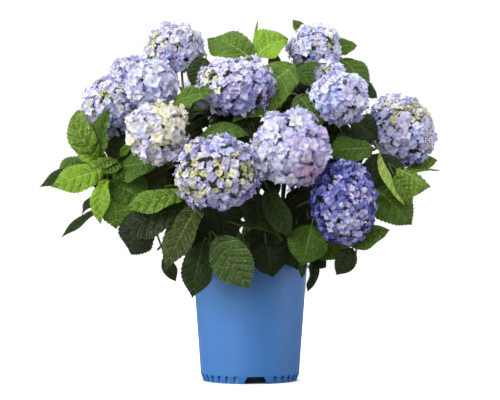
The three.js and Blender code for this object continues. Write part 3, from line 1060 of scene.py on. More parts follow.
RIGHT_SPRAY = [
    Leaf((0.179, -0.17, 0.243), (0.15, -0.175, 0.196), 0.038, (0.3, -0.95, 0.2), T.SHADE, 0.3, 0.5),
    Leaf(
        (0.174, -0.19, 0.246), (0.239, -0.21, 0.273), 0.046, (0.1, -0.8, 0.6),
        T.MEADOW, fold=0.3, arch=0.6, quilt=1.6,
    ),
    Leaf((0.231, -0.15, 0.416), (0.268, -0.19, 0.316), 0.032, (-0.75, 0.65, -0.2), T.LIME, 0.6, 0.4),
    Leaf(
        (0.262, -0.125, 0.386), (0.324, -0.125, 0.354), 0.094, (0.1, -0.6, 0.75),
        T.FRESH, fold=-0.45, arch=0.4, wave=0.04, quilt=2.0,
    ),
    Leaf((0.224, -0.13, 0.35), (0.287, -0.14, 0.285), 0.08, (0.1, -0.9, 0.4), T.MEADOW, 0.2, 0.5),
    Leaf(
        (0.257, -0.138, 0.372), (0.286, -0.142, 0.318), 0.044, (0.3, -0.8, 0.4),
        T.FRESH, fold=0.2, arch=0.4, wave=0.04, quilt=2.0,
    ),
    Leaf((0.22, -0.11, 0.414), (0.262, -0.115, 0.335), 0.078, (0.0, -0.9, 0.4), T.SHADE, 0.2, 0.5),
    Leaf((0.276, -0.06, 0.392), (0.354, -0.06, 0.39), 0.034, (0.0, -0.2, 1.0), T.FRESH, 0.05, 0.1),
    Leaf((0.296, -0.04, 0.402), (0.351, -0.04, 0.411), 0.038, (0.0, -0.85, 0.5), T.FRESH, 0.1, 0.5),
    Leaf((0.219, -0.13, 0.422), (0.136, -0.15, 0.411), 0.066, (-0.1, -0.8, 0.6), T.MEADOW, 0.25, 0.5),
    Leaf((0.186, -0.1, 0.476), (0.232, -0.1, 0.444), 0.06, (0.0, -0.9, 0.4), T.DEEP, 0.25, 0.5),
    Leaf((0.165, -0.12, 0.455), (0.2, -0.13, 0.395), 0.066, (0.0, -0.9, 0.4), T.SHADE, 0.2, 0.5),
]
TOP_SPRAY = [
    Leaf((0.008, 0.0, 0.604), (-0.084, 0.03, 0.657), 0.092, (0.15, -0.75, 0.65), T.BRIGHT, 0.2, 0.9),
    Leaf((0.0175, -0.01, 0.606), (0.0145, -0.01, 0.684), 0.015, (-0.8, -0.6, 0.0), T.LIME, 0.7, 0.3),
    Leaf((0.0125, -0.02, 0.612), (0.073, -0.02, 0.646), 0.08, (-0.1, -0.8, 0.6), T.LIME, 0.5, 0.9),
    Leaf((0.045, -0.03, 0.576), (0.047, -0.03, 0.618), 0.025, (0.2, -0.9, 0.3), T.OLIVE, 0.3, 0.4),
    Leaf((0.109, 0.02, 0.66), (0.083, 0.02, 0.692), 0.022, (0.1, -0.95, 0.1), T.BRIGHT, 0.3, 0.3),
    Leaf((0.162, 0.01, 0.632), (0.207, 0.01, 0.639), 0.044, (0.1, -0.8, 0.6), T.BRIGHT, 0.2, 0.7),
    Leaf((0.177, 0.0, 0.612), (0.222, -0.02, 0.545), 0.064, (0.3, -0.85, 0.4), T.MEADOW, 0.15, 0.5),
    Leaf((0.205, 0.0, 0.562), (0.244, 0.0, 0.535), 0.04, (0.1, -0.8, 0.6), T.DEEP, 0.2, 0.5),
    Leaf((0.083, -0.1, 0.58), (-0.03, -0.15, 0.468), 0.088, (0.1, -0.8, 0.6), T.BRIGHT, 0.2, 0.5),
    Leaf((0.08, -0.09, 0.58), (0.115, -0.102, 0.539), 0.046, (0.1, -0.75, 0.65), T.MEADOW, 0.25, 0.5),
    Leaf((0.128, -0.08, 0.586), (0.091, -0.085, 0.574), 0.019, (0.0, -0.8, 0.6), T.BRIGHT, 0.2, 0.5),
    Leaf((0.07, -0.06, 0.545), (0.098, -0.08, 0.48), 0.066, (0.0, -0.9, 0.4), T.SHADE, 0.25, 0.4),
    Leaf((0.095, -0.06, 0.572), (0.064, -0.07, 0.51), 0.066, (0.0, -0.9, 0.4), T.SHADE, 0.25, 0.4),
    Leaf((0.084, -0.15, 0.516), (0.126, -0.17, 0.456), 0.06, (0.1, -0.85, 0.5), T.MEADOW, 0.25, 0.4),
    Leaf((-0.137, -0.15, 0.5), (-0.063, -0.195, 0.5155), 0.046, (0.1, -0.85, 0.5), T.BRIGHT, 0.3, 0.4),
    Leaf((-0.082, -0.06, 0.6), (-0.108, -0.062, 0.546), 0.046, (-0.1, -0.9, 0.4), T.DEEP, 0.25, 0.4),
    Leaf(
        (-0.094, -0.168, 0.428), (-0.002, -0.205, 0.436), 0.074, (0.0, -0.6, 0.8),
        T.MEADOW, fold=0.1, arch=1.3, wave=0.03, quilt=1.8,
    ),
    backing((-0.135, -0.09, 0.463), (-0.088, -0.09, 0.422), 0.066),
]
SPRAYS = LEFT_SPRAY + FRONT_LEFT_SPRAY + FRONT_SPRAY + RIGHT_SPRAY + TOP_SPRAY


# --------------------------------------
# Blossom


@dataclass(frozen=True)
class Floret:
    """A floret of broad petals that overlap like a pinwheel, with a bead in the middle.

    The numbers in a floret also seed its own small irregularities. The ones under them are the same in all.
    """

    petals: int = 4
    breadth: float = 0.58
    lift: float = 0.10
    cup: float = 0.10
    pitch: float = 0.16
    droop: float = 0.15
    bead: float = 0.11

    spreads = (0.07, 0.09, 0.09, 0.05)
    crimps = (0.03, 0.11)
    bead_height = 0.07

    def pattern(self) -> Pattern:
        """Build the floret, one unit from its middle to a petal's end, facing +Z.

        Returns:
            The floret.
        """
        rng = seeded(repr(self))
        bm = bmesh.new()
        layer = bm.loops.layers.uv.new(PATTERN_MAP)
        for i in range(self.petals):
            made = bmesh.ops.create_grid(bm, x_segments=4, y_segments=3, size=1.0)["verts"]
            lay_map(layer, made)
            usual = (self.lift, self.cup, self.droop, self.pitch)
            lift, cup, droop, pitch = rng.normal(usual, self.spreads)
            long, crimp, phase = rng.normal(1.0, 0.08), rng.uniform(*self.crimps), rng.uniform(0, 6)
            for vertex in made:
                a, b = vertex.co.x, vertex.co.y / 2 + 0.5
                wide = self.breadth * math.sin(math.pi * (0.09 + 0.79 * b)) ** 0.75
                far = long * (0.06 + 0.68 * b + 0.27 * (1 - a * a) * b * b)
                high = lift * math.sin(b * 2.2) + cup * a * a * b - droop * b**3
                high += crimp * math.sin(a * 4 + phase) * b
                vertex.co = (a * wide, far, high + pitch * a * wide)
            turned_by(bm, made, 2 * math.pi * i / self.petals + rng.normal(0, 0.07))
        made = bmesh.ops.create_icosphere(bm, subdivisions=1, radius=self.bead)["verts"]
        bmesh.ops.translate(bm, verts=made, vec=(0.0, 0.0, self.bead_height))
        lay_map(layer, made, (0.5, 0.03), (0.3, 0.2))
        return Pattern.of(bm)


FLORETS = (
    Floret(),
    Floret(lift=0.26, cup=-0.16, droop=0.05),
    Floret(lift=0.02, cup=0.22, droop=0.30, pitch=0.10),
    Floret(lift=0.45, cup=0.10, droop=-0.10, breadth=0.50),
    Floret(petals=5, breadth=0.48, pitch=0.20, lift=0.2),
    Floret(lift=0.16, cup=-0.26, droop=0.40, breadth=0.60),
    Floret(petals=3, lift=0.35, cup=0.22, droop=0.05, breadth=0.66),
    Floret(lift=0.60, cup=0.16, droop=0.02, breadth=0.54),
)

P = PetalTint


@dataclass(frozen=True)
class Patch:
    """A side of a mophead that has a mixture of its own."""

    side: Point
    reach: float
    mixture: dict[PetalTint, float]
    soft: float = 0.12


@dataclass(frozen=True)
class Mophead:
    """A round head of florets in a mixture of petal colours."""

    node: str
    body: dict[PetalTint, float]
    # The skirt's mixtures are mostly deeper and the top's paler: partly the heads' own colours, partly
    # painted shade below and painted light above.
    skirt: dict[PetalTint, float] = field(default_factory=dict)
    top: dict[PetalTint, float] = field(default_factory=dict)
    patches: tuple[Patch, ...] = ()
    floret: float = 0.0112
    spacing: float = 0.0146
    shift: Point = (0.0, 0.0, 0.0)
    squash: Point = (1.0, 1.0, 1.0)
    bulge: Point = (0.0, 0.0, 0.0)
    ragged: float = 0.05
    grain: float = 1.2
    upward: float = 0.35
    stem_depth: float = 0.62
    packing: float = 0.87
    scatter: float = 0.32
    stem_gap: float = -0.84
    top_cap: float = 0.72
    tumble: float = 0.31
    sizes: Range = (0.68, 1.16)
    layers: tuple[Point, ...] = ((1.0, 1.0, 1.0), (0.80, 0.20, 0.95))
    stalk_radii: Range = (0.0011, 0.0007)

    def room(self) -> tuple[Array, Array]:
        """Give the head's middle and its reach along each axis."""
        middle, reach = middle_and_reach(self.node)
        return middle + self.shift, reach * self.squash

    def axis(self) -> Array:
        """Give the direction that the head faces."""
        middle, _ = middle_and_reach(self.node)
        return unit(unit(middle - HEART) + self.upward * UP)

    def stalk_end(self) -> Array:
        """Give the point under the head where its stalks part."""
        middle, reach = self.room()
        return middle - self.axis() * reach.mean() * self.stem_depth

    def tints(self, directions: Array, rng: np.random.Generator) -> Array:
        """Deal out petal colours by where each floret sits, so that neighbours are mostly alike.

        Args:
            directions: Each floret's direction from the head's middle.
            rng: Random numbers.

        Returns:
            Each floret's colour, by its place among the petal tints.
        """
        names = list(PetalTint)
        count = len(directions)
        rise = directions @ self.axis() + rng.normal(0, 0.14, count)
        waves = directions @ unit(rng.normal(size=(5, 3))).T * 5.5 + rng.uniform(0, 2 * math.pi, 5)
        level = np.sin(waves).sum(axis=1) / 1.6 + rng.normal(0, self.grain, count)
        level = (np.argsort(np.argsort(level)) + 0.5) / count
        stray = rng.normal(0, 1, count)
        chosen = np.empty(count, dtype=np.int32)
        for i in range(count):
            mixture = self.body
            if self.skirt and rise[i] < 0.0:
                mixture = self.skirt
            if self.top and rise[i] > self.top_cap:
                mixture = self.top
            for patch in self.patches:
                if directions[i] @ unit(np.array(patch.side)) + stray[i] * patch.soft > 1 - patch.reach:
                    mixture = patch.mixture
            edges = np.cumsum(list(mixture.values()))
            place = int(np.searchsorted(edges / edges[-1], level[i]))
            chosen[i] = names.index(list(mixture)[place])
        return chosen

    def spread(self, rng: np.random.Generator, depth: float, share: float) -> Array:
        """Spread directions evenly round the head, apart from where its stem enters.

        Args:
            rng: Random numbers.
            depth: How far out the layer lies, as a share of the head's reach.
            share: How full the layer is.

        Returns:
            The directions.
        """
        _, reach = self.room()
        area = 4 * math.pi * (reach.mean() * depth) ** 2
        count = int(area / (self.packing * self.spacing**2) * share)
        i = np.arange(count) + 0.5
        z = 1 - 2 * i / count
        flat = np.sqrt(1 - z * z)
        turn = i * GOLDEN_TURN + rng.uniform(0, 6)
        directions = np.stack([flat * np.cos(turn), flat * np.sin(turn), z], 1)
        directions = unit(directions + rng.normal(0, self.scatter * self.spacing / reach.mean(), (count, 3)))
        return directions[directions @ self.axis() > self.stem_gap]

    def place(
        self, blossom: Swarm, stalks: Swarm, thin: Tubes, patterns: list[Pattern], core: Pattern
    ) -> None:
        """Add the head's florets, their stalks and the bud cluster behind them, whose darker green is partly
        painted shade.

        Args:
            blossom: The piece that the florets join.
            stalks: The piece that the stalks join.
            thin: The tube for the stalks.
            patterns: The florets to choose from.
            core: The ball for the bud cluster.
        """
        rng = seeded(self.node)
        middle, reach = self.room()
        axis = self.axis()
        petal_room = reach - self.floret * 0.50
        lumps = unit(rng.normal(size=(8, 3)))
        for depth, share, big in self.layers:
            directions = self.spread(rng, depth, share)
            count = len(directions)
            swell = 0.90 + 0.10 * np.max(directions @ lumps.T, axis=1) ** 6
            swell = np.minimum(swell + rng.normal(0, self.ragged, count), 1.03)
            facing_bulge = np.maximum(0, directions @ unit(np.array(self.bulge)))
            swell = swell * (1 + np.linalg.norm(self.bulge) * facing_bulge**3)
            size = self.floret * big * rng.uniform(*self.sizes, count)
            points = middle + directions * petal_room * (depth * swell)[:, None]
            normal = unit(directions + 0.10 * axis + rng.normal(0, self.tumble, (count, 3)))
            across = unit(np.cross(normal, rng.normal(size=(count, 3))))
            turned = np.stack([across, np.cross(normal, across), normal], 2) * size[:, None, None]
            kinds = rng.integers(0, len(patterns), count)
            tints = self.tints(directions, rng)
            green = tints == list(PetalTint).index(PetalTint.GREENISH)
            turned[green] *= 0.80
            points[green] = middle + (points[green] - middle) * 0.97
            for k, pattern in enumerate(patterns):
                here = kinds == k
                if here.any():
                    spots = np.einsum("nij,mj->nmi", turned[here], pattern.points) + points[here][:, None]
                    blossom.add(pattern, spots, tints[here])
            self.add_stalks(stalks, thin, rng, points, normal)
        # The ball stands for the buds and stalks inside the head; its darker green than the stalks is partly
        # painted shade.
        ball = core.points * (1 + rng.normal(0, 0.06, (len(core.points), 1)))
        stalks.add(core, (middle + ball * petal_room * 0.70)[None], np.full(1, 2))

    def add_stalks(
        self, stalks: Swarm, thin: Tubes, rng: np.random.Generator, points: Array, normal: Array
    ) -> None:
        """Join each floret to the head's stem by a thin stalk.

        Args:
            stalks: The piece that the stalks join.
            thin: The tube for the stalks.
            rng: Random numbers.
            points: Where the florets sit.
            normal: The ways that they face.
        """
        _, reach = self.room()
        axis, count = self.axis(), len(points)
        root = self.stalk_end() + axis * reach.mean() * 0.35 * rng.uniform(0.2, 1.0, (count, 1))
        pull = (root + points) / 2 - axis * reach.mean() * 0.10
        curves = bezier(root, pull, points - normal * 0.001, thin.steps)
        stalks.add(thin.pattern, thin.bend(curves, thin.taper(self.stalk_radii, count)), np.full(count, 1))


PALE = {P.WHITE: 0.14, P.ICE: 0.42, P.LILAC: 0.34, P.SKY: 0.10}
BLUE_LILAC = {P.ICE: 0.26, P.LILAC: 0.44, P.SKY: 0.20, P.MAUVE: 0.10}
DUSK = {P.LILAC: 0.26, P.SKY: 0.24, P.MAUVE: 0.30, P.VIOLET: 0.20}
MILK = {P.GREENISH: 0.16, P.CREAM: 0.54, P.WHITE: 0.22, P.LILAC: 0.08}
GREEN_EYE = {P.GREENISH: 0.40, P.CREAM: 0.34, P.LILAC: 0.26}
PEARL = {P.GREENISH: 0.16, P.CREAM: 0.20, P.WHITE: 0.22, P.ICE: 0.18, P.LILAC: 0.24}
SPECKLED = {P.GREENISH: 0.20, P.CREAM: 0.12, P.ICE: 0.20, P.LILAC: 0.32, P.SKY: 0.08, P.MAUVE: 0.08}
SOFT_LILAC = {P.WHITE: 0.12, P.ICE: 0.32, P.LILAC: 0.44, P.MAUVE: 0.12}
SKYWARD = {P.ICE: 0.40, P.LILAC: 0.26, P.SKY: 0.34}
LILAC_ROSE = {P.ICE: 0.20, P.LILAC: 0.52, P.MAUVE: 0.24, P.PINK: 0.04}
BLUSH = {P.LILAC: 0.36, P.MAUVE: 0.16, P.PINK: 0.48}
ROSY = {P.LILAC: 0.20, P.MAUVE: 0.10, P.PINK: 0.44, P.ROSE: 0.26}
ROSE_RIM = {P.PINK: 0.40, P.ROSE: 0.60}
FADED = {P.GREENISH: 0.40, P.CREAM: 0.12, P.LILAC: 0.20, P.MAUVE: 0.18, P.VIOLET: 0.10}
COBALT = {P.MAUVE: 0.08, P.SKY: 0.10, P.VIOLET: 0.18, P.DEEP: 0.42, P.INK: 0.22}
NIGHT = {P.VIOLET: 0.12, P.DEEP: 0.36, P.INK: 0.52}

# Deeper mixtures on lower sides and on many heads' right sides are partly the heads' own colours and partly
# painted shade; PALE tops are partly painted light.
MOPHEADS = {
    "blossom_front": [
        Mophead(
            "mophead_front", SOFT_LILAC, LILAC_ROSE,
            patches=(
                Patch((-0.7, -0.6, -0.1), 0.30, PALE), Patch((0.9, -0.5, 0.0), 0.36, LILAC_ROSE),
                Patch((0.60, -0.54, -0.58), 0.190, BLUSH, 0.06),
                Patch((0.42, -0.46, -0.80), 0.125, ROSE_RIM, 0.04),
            ),
            floret=0.0138, spacing=0.0152, grain=1.6,
        ),
        Mophead(
            "mophead_front_left", MILK, MILK,
            patches=(Patch((-0.5, -0.8, 0.3), 0.16, PEARL), Patch((-0.3, -0.6, -0.8), 0.12, PEARL)),
            floret=0.0132, spacing=0.0143,
        ),
        Mophead(
            "mophead_front_top", SPECKLED, DUSK, PALE,
            patches=(Patch((0.9, -0.4, 0.1), 0.26, DUSK), Patch((0.0, -0.8, -0.6), 0.14, DUSK)),
            floret=0.0108, spacing=0.0142, ragged=0.06,
        ),
    ],
    "blossom_low": [
        Mophead(
            "mophead_front_low", FADED, DUSK,
            patches=(Patch((0.0, -0.3, 0.95), 0.20, BLUE_LILAC), Patch((0.2, -0.4, -0.9), 0.08, DUSK)),
            floret=0.0088, spacing=0.0120, ragged=0.07, grain=3.0,
        ),
        Mophead(
            "mophead_right_low", COBALT, NIGHT,
            patches=(Patch((0.1, -0.8, -0.5), 0.10, DUSK), Patch((-0.9, -0.4, 0.0), 0.22, NIGHT)),
            floret=0.0076, spacing=0.0098, shift=(-0.004, 0.0, 0.0), squash=(0.97, 1.0, 1.0),
            bulge=(0.04, 0.0, -0.09),
        ),
    ],
    "blossom_left": [
        Mophead(
            "mophead_left", SPECKLED, BLUE_LILAC,
            patches=(Patch((0.9, -0.3, -0.4), 0.28, DUSK), Patch((0.3, -0.95, 0.2), 0.10, SPECKLED)),
            floret=0.0096, spacing=0.0116, shift=(0.004, 0.0, -0.003), ragged=0.06,
        ),
        Mophead(
            "mophead_left_upper", PALE, BLUE_LILAC,
            patches=(Patch((0.7, -0.5, -0.5), 0.20, BLUE_LILAC),),
            floret=0.0130, spacing=0.0146, shift=(0.001, 0.0, 0.0),
        ),
        Mophead(
            "mophead_left_top", PEARL, BLUE_LILAC, PALE,
            patches=(Patch((0.8, -0.4, -0.3), 0.22, BLUE_LILAC),),
            floret=0.0104, spacing=0.0121, shift=(-0.001, 0.0, -0.005), squash=(1.03, 1.0, 0.94),
            grain=2.0,
        ),
        Mophead("mophead_left_behind", PALE, BLUE_LILAC, PALE),
        Mophead("mophead_left_back", BLUE_LILAC, ROSY, MILK),
    ],
    "blossom_right": [
        Mophead(
            "mophead_right_upper", SOFT_LILAC, BLUE_LILAC,
            patches=(Patch((-0.7, -0.7, 0.1), 0.30, SKYWARD),),
            floret=0.0118, spacing=0.0135,
        ),
        Mophead(
            "mophead_right", SPECKLED, DUSK,
            patches=(Patch((0.1, -0.5, -0.8), 0.14, DUSK),),
            floret=0.0100, spacing=0.0130, shift=(-0.005, 0.0, -0.005), squash=(1.03, 1.0, 1.0),
            bulge=(-0.08, 0.0, 0.08), ragged=0.06, grain=2.0,
        ),
        Mophead(
            "mophead_right_top", SPECKLED, BLUE_LILAC,
            patches=(Patch((-0.7, -0.6, 0.0), 0.22, SKYWARD),),
            floret=0.0100, spacing=0.0128, shift=(0.0, 0.0, -0.007), squash=(1.0, 1.0, 0.96), grain=2.0,
        ),
        Mophead("mophead_right_behind", SPECKLED, BLUE_LILAC, SOFT_LILAC, floret=0.0100, spacing=0.0130),
        Mophead("mophead_right_back", COBALT, NIGHT, DUSK),
    ],
    "blossom_back": [
        Mophead("mophead_back_left", PALE, BLUE_LILAC, MILK),
        Mophead(
            "mophead_back_left_top", PEARL, DUSK, GREEN_EYE, shift=(0.007, 0.0, 0.0),
            squash=(0.9, 1.0, 1.0),
        ),
        Mophead("mophead_back_left_low", ROSY, ROSE_RIM, BLUE_LILAC),
        Mophead("mophead_back", BLUE_LILAC, DUSK, PALE),
        Mophead("mophead_back_right", MILK, BLUE_LILAC, GREEN_EYE),
        Mophead("mophead_back_right_top", BLUE_LILAC, COBALT, PALE),
    ],
}


# --------------------------------------
# Canes, shoots and their leaves


@dataclass
class Cane:
    """A woody cane from the potting mix to its fork among the leaves."""

    node: str
    azimuth: float
    ring: float = 0.034
    fork_out: float = 0.085
    fork_height: float = 0.40
    foot_height: float = 0.186
    lean: float = 0.045
    lean_height: float = 0.275
    thick: float = 0.0064
    taper: float = 0.0026
    flare: float = 0.0022
    joint: float = 0.0006
    curve: Array = field(default_factory=lambda: np.zeros((0, 3)))

    def grow(self, steps: int) -> Array:
        """Work out the cane's curve.

        Args:
            steps: Lengths along it.

        Returns:
            Points along the curve.
        """
        flat = towards(self.azimuth, 0.0)
        foot = flat * self.ring + UP * self.foot_height
        fork = flat * self.fork_out + UP * self.fork_height
        pull = flat * (self.ring + self.lean) + UP * self.lean_height
        self.curve = bezier(foot, pull, fork, steps)
        return self.curve

    def radii(self, steps: int) -> Array:
        """Give the cane's radius along it, with a flared foot and swollen joints.

        Args:
            steps: Lengths along it.

        Returns:
            The radius at each point of the curve.
        """
        t = np.linspace(0, 1, steps + 1)
        smooth = self.thick - self.taper * t + self.flare * np.exp(-t * 30)
        return smooth + self.joint * np.maximum(0, np.cos(t * 38)) ** 8


CANES = [
    Cane("cane_front", 10),
    Cane("cane_front_left", -28, fork_height=0.38),
    Cane("cane_left", -72, fork_out=0.10, fork_height=0.42),
    Cane("cane_back_left", -118),
    Cane("cane_back", 178),
    Cane("cane_back_right", 126, fork_height=0.42),
    Cane("cane_right", 58, fork_out=0.10),
    Cane("cane_middle", 90, ring=0.006, fork_out=0.02, fork_height=0.46),
]

# How much of its room a leaf mass fills, where that isn't all.
TRIMMED = {"leaf_mass_left": 0.72, "leaf_mass_right": 0.72, "leaf_mass_top": 0.86}

MASS_GROUPS = {
    "foliage_front": [
        "leaf_mass_front", "leaf_mass_front_low", "leaf_mass_front_left", "leaf_mass_front_left_low",
        "leaf_mass_front_right", "leaf_mass_front_upper",
    ],
    "foliage_left": ["leaf_mass_left", "leaf_mass_left_low", "leaf_mass_left_upper", "leaf_mass_left_top"],
    "foliage_right": [
        "leaf_mass_right", "leaf_mass_right_low", "leaf_mass_right_upper", "leaf_mass_right_top",
    ],
    "foliage_top": ["leaf_mass_top", "leaf_mass_back_top"],
    "foliage_back": [
        "leaf_mass_back", "leaf_mass_back_low", "leaf_mass_back_left", "leaf_mass_back_left_low",
        "leaf_mass_back_right", "leaf_mass_back_right_low",
    ],
    "foliage_heart": ["leaf_mass_heart"],
}


# Openings that the leaves leave through the shrub: across, height and radius, as seen from the front.
CLEARINGS = (
    (0.056, 0.626, 0.009), (0.031, 0.607, 0.010), (0.069, 0.608, 0.011), (-0.074, 0.616, 0.007),
    (-0.133, 0.568, 0.011), (-0.133, 0.547, 0.011), (-0.228, 0.314, 0.011), (-0.178, 0.254, 0.010),
    (-0.328, 0.343, 0.010), (-0.042, 0.316, 0.006), (0.030, 0.332, 0.005), (0.063, 0.371, 0.006),
)


@dataclass
class Canopy:
    """The canes, shoots, leaves and blossom, grown on from each other."""

    cane_sides: int = 12
    cane_steps: int = 24
    cane_roughness: float = 0.05
    shoot_sides: int = 7
    shoot_steps: int = 10
    shoot_radii: Range = (0.0034, 0.0023)
    petiole_radii: Range = (0.0020, 0.0014)
    petiole_lead: float = 0.03
    mass_pairs: int = 13
    mass_leaf: Range = (0.085, 0.125)
    mass_slack: float = 1.06
    shortest_leaf: float = 0.065
    leaf_breadth: Range = (0.62, 0.78)
    collar_leaves: int = 8
    collar_leaf: Range = (0.075, 0.11)
    collar_drop: float = 0.012
    collar_slack: float = 1.05
    heart_tries: int = 460
    heart_leaf: Range = (0.08, 0.12)
    heart_floor: float = 0.235
    heart_slack: float = 1.04
    skirt_height: float = 0.215
    skirt_rise: float = 0.30
    skirt_radius: float = 0.16

    def __post_init__(self) -> None:
        """Make the finishes and the pieces that everything joins."""
        leaf, petal = LeafFinish(), PetalFinish()
        leaf_veins, petal_veins = leaf.veins(), petal.veins()
        self.greens = [leaf.make(tint, leaf_veins) for tint in LeafTint]
        self.petals = [petal.make(tint, petal_veins) for tint in PetalTint]
        wood = BarkFinish("cane_bark", "6c5b40", "463a28", 0.0012).make()
        # The shoots' green is darkened to their look in the crown's shade: partly their own colour, partly
        # painted shade.
        stem = BarkFinish("green_stem", "5a6b33", "4a5226", 0.0004).make()
        flower = BarkFinish("flower_stalk", "8f9a62", "75804c", 0.0002).make()
        # The bud cluster's green is partly its own colour and partly painted shade inside the head.
        buds_and_shade = BarkFinish("bud_cluster_and_shade", "6a7248", "3c4428", 0.0020).make()
        self.wood = Swarm("canes", [wood])
        self.twigs = Swarm("twigs", [stem, flower, buds_and_shade])
        self.petiole = Tubes(5, 4)
        self.leaves: dict[str, list[Leaf]] = {group: [] for group in MASS_GROUPS}
        self.shoots: list[Array] = []
        self.heads = [head for group in MOPHEADS.values() for head in group]

    def grow_canes(self) -> None:
        """Grow the canes with their flared feet."""
        tube = Tubes(self.cane_sides, self.cane_steps)
        rng = seeded("canes")
        for cane in CANES:
            curve = cane.grow(self.cane_steps)
            points = tube.bend(curve[None], cane.radii(self.cane_steps)[None])
            middle = curve[tube.level][None]
            rough = 1 + rng.normal(0, self.cane_roughness, points.shape[:2])
            points = middle + (points - middle) * rough[..., None]
            self.wood.add(tube.pattern, points, np.zeros(1, dtype=int))

    def fork(self, target: Array) -> Array:
        """Choose where a shoot leaves its cane, and bend it to its target.

        Args:
            target: Where the shoot goes.

        Returns:
            The shoot's curve.
        """
        best, place = math.inf, None
        for cane in CANES:
            for i in range(9, self.cane_steps + 1, 3):
                spot = cane.curve[i]
                apart = np.linalg.norm(target - spot)
                climb = (target[2] - spot[2]) / apart
                cost = apart + 0.10 * max(0.0, 0.35 - climb) + 0.05 * (i < 12)
                if cost < best:
                    best, place = cost, (cane, i)
        cane, i = place
        spot = cane.curve[i]
        heading = unit(cane.curve[i] - cane.curve[i - 2])
        outward = unit((target - HEART) * (1, 1, 0))
        apart = np.linalg.norm(target - spot)
        pull = spot + heading * 0.35 * apart + outward * 0.12 * apart + UP * 0.06 * apart
        return bezier(spot, pull, target, self.shoot_steps)

    def grow_shoots(self) -> None:
        """Grow a shoot to each mophead and each leaf mass."""
        tube = Tubes(self.shoot_sides, self.shoot_steps)
        self.shoots = [self.fork(head.stalk_end()) for head in self.heads]
        for nodes in MASS_GROUPS.values():
            for node in nodes:
                if node != "leaf_mass_heart":
                    middle, reach = middle_and_reach(node)
                    self.shoots.append(self.fork(middle + unit(middle - HEART) * reach.mean() * 0.3))
        count = len(self.shoots)
        points = tube.bend(np.array(self.shoots), tube.taper(self.shoot_radii, count))
        self.twigs.add(tube.pattern, points, np.zeros(count, dtype=int))

    def covers_blossom(self, points: Array) -> bool:
        """Tell whether a leaf would lie inside a mophead or in front of it.

        Args:
            points: A few points on the leaf.

        Returns:
            Whether it would.
        """
        for head in self.heads:
            middle, reach = head.room()
            apart = points - middle
            if (np.linalg.norm(apart / (reach * 0.96), axis=1) < 1).any():
                return True
            for way in (unit(middle - HEART), unit((middle - HEART) * (1, 1, 0.15))):
                ahead = apart @ way
                beside = np.linalg.norm(apart - ahead[:, None] * way, axis=1)
                if ((ahead > 0) & (beside < reach.mean() * 0.86)).any():
                    return True
            if middle[1] < -0.02:
                beside = np.linalg.norm((apart / (reach * 0.9))[:, [0, 2]], axis=1)
                if ((apart[:, 1] < 0) & (beside < 1)).any():
                    return True
        return False

    def covers_sprays(self, points: Array) -> bool:
        """Tell whether a leaf would lie in front of one that was set by hand.

        Args:
            points: A few points on the leaf.

        Returns:
            Whether it would.
        """
        for leaf in SPRAYS:
            for share in (0.3, 0.6, 0.9):
                spot = np.array(leaf.foot) * (1 - share) + np.array(leaf.tip) * share
                apart = points - spot
                near = np.hypot(apart[:, 0], apart[:, 2]) < 0.032
                if (near & (apart[:, 1] < 0.004)).any():
                    return True
        return False

    def is_in_the_way(self, foot: Array, tip: Array) -> bool:
        """Tell whether a leaf would cover blossom, or on the front a leaf that was set by hand."""
        samples = np.linspace(foot, tip, 6)
        return self.covers_blossom(samples) or (tip[1] < 0 and self.covers_sprays(samples))

    def shuts_clearing(self, foot: Array, tip: Array) -> bool:
        """Tell whether a leaf would close one of the openings through the leaves.

        Args:
            foot: The blade's foot.
            tip: Its tip.

        Returns:
            Whether it would.
        """
        spots = np.linspace(foot, tip, 9)
        stand = np.array(Studio.stand)
        seen = stand + (spots - stand) * (-stand[1] / (spots[:, 1:2] - stand[1]))
        half = 0.3 * np.linalg.norm(tip - foot) * np.sin(np.linspace(0.15, 0.95, 9) * math.pi)
        return any(
            (np.hypot(seen[:, 0] - x, seen[:, 2] - z) < radius + half).any() for x, z, radius in CLEARINGS
        )

    def above_skirt(self, tip: Array) -> bool:
        """Tell whether a tip stays above the height that the shrub's lower edge has there."""
        out = max(0.0, math.hypot(tip[0], tip[1]) - self.skirt_radius)
        return tip[2] > self.skirt_height + self.skirt_rise * out

    def has_room(self, tip: Array) -> bool:
        """Tell whether a tip stays inside the room of a leaf mass.

        Args:
            tip: The blade's tip.

        Returns:
            Whether it does.
        """
        for nodes in MASS_GROUPS.values():
            for node in nodes:
                middle, reach = middle_and_reach(node)
                if np.linalg.norm((tip - middle) / (reach * self.collar_slack)) < 1:
                    return True
        return False

    def add_leaf(
        self,
        group: str,
        foot: Array,
        tip: Array,
        rng: np.random.Generator,
        greens: list[LeafTint],
        start: Array,
    ) -> None:
        """Add a leaf in a seeded pose, unless it would close an opening.

        Args:
            group: The foliage piece that it joins.
            foot: The blade's foot.
            tip: Its tip.
            rng: Random numbers.
            greens: The greens to choose from.
            start: Where its stalk leaves the shoot.
        """
        if self.shuts_clearing(foot, tip):
            return
        length = float(np.linalg.norm(tip - foot))
        outward = unit(tip - HEART)
        facing = unit(0.9 * UP + 0.8 * outward + rng.normal(0, 0.25, 3))
        leaf = Leaf(
            tuple(foot),
            tuple(tip),
            length * rng.uniform(*self.leaf_breadth),
            tuple(facing),
            greens[int(rng.integers(len(greens)))],
            fold=rng.uniform(0.1, 0.5),
            arch=rng.uniform(0.2, 0.9),
            twist=rng.normal(0, 0.2),
            wave=rng.uniform(0.02, 0.09),
            quilt=rng.uniform(0.7, 1.4),
        )
        self.leaves[group].append(leaf)
        self.add_petiole(start, foot, tip)

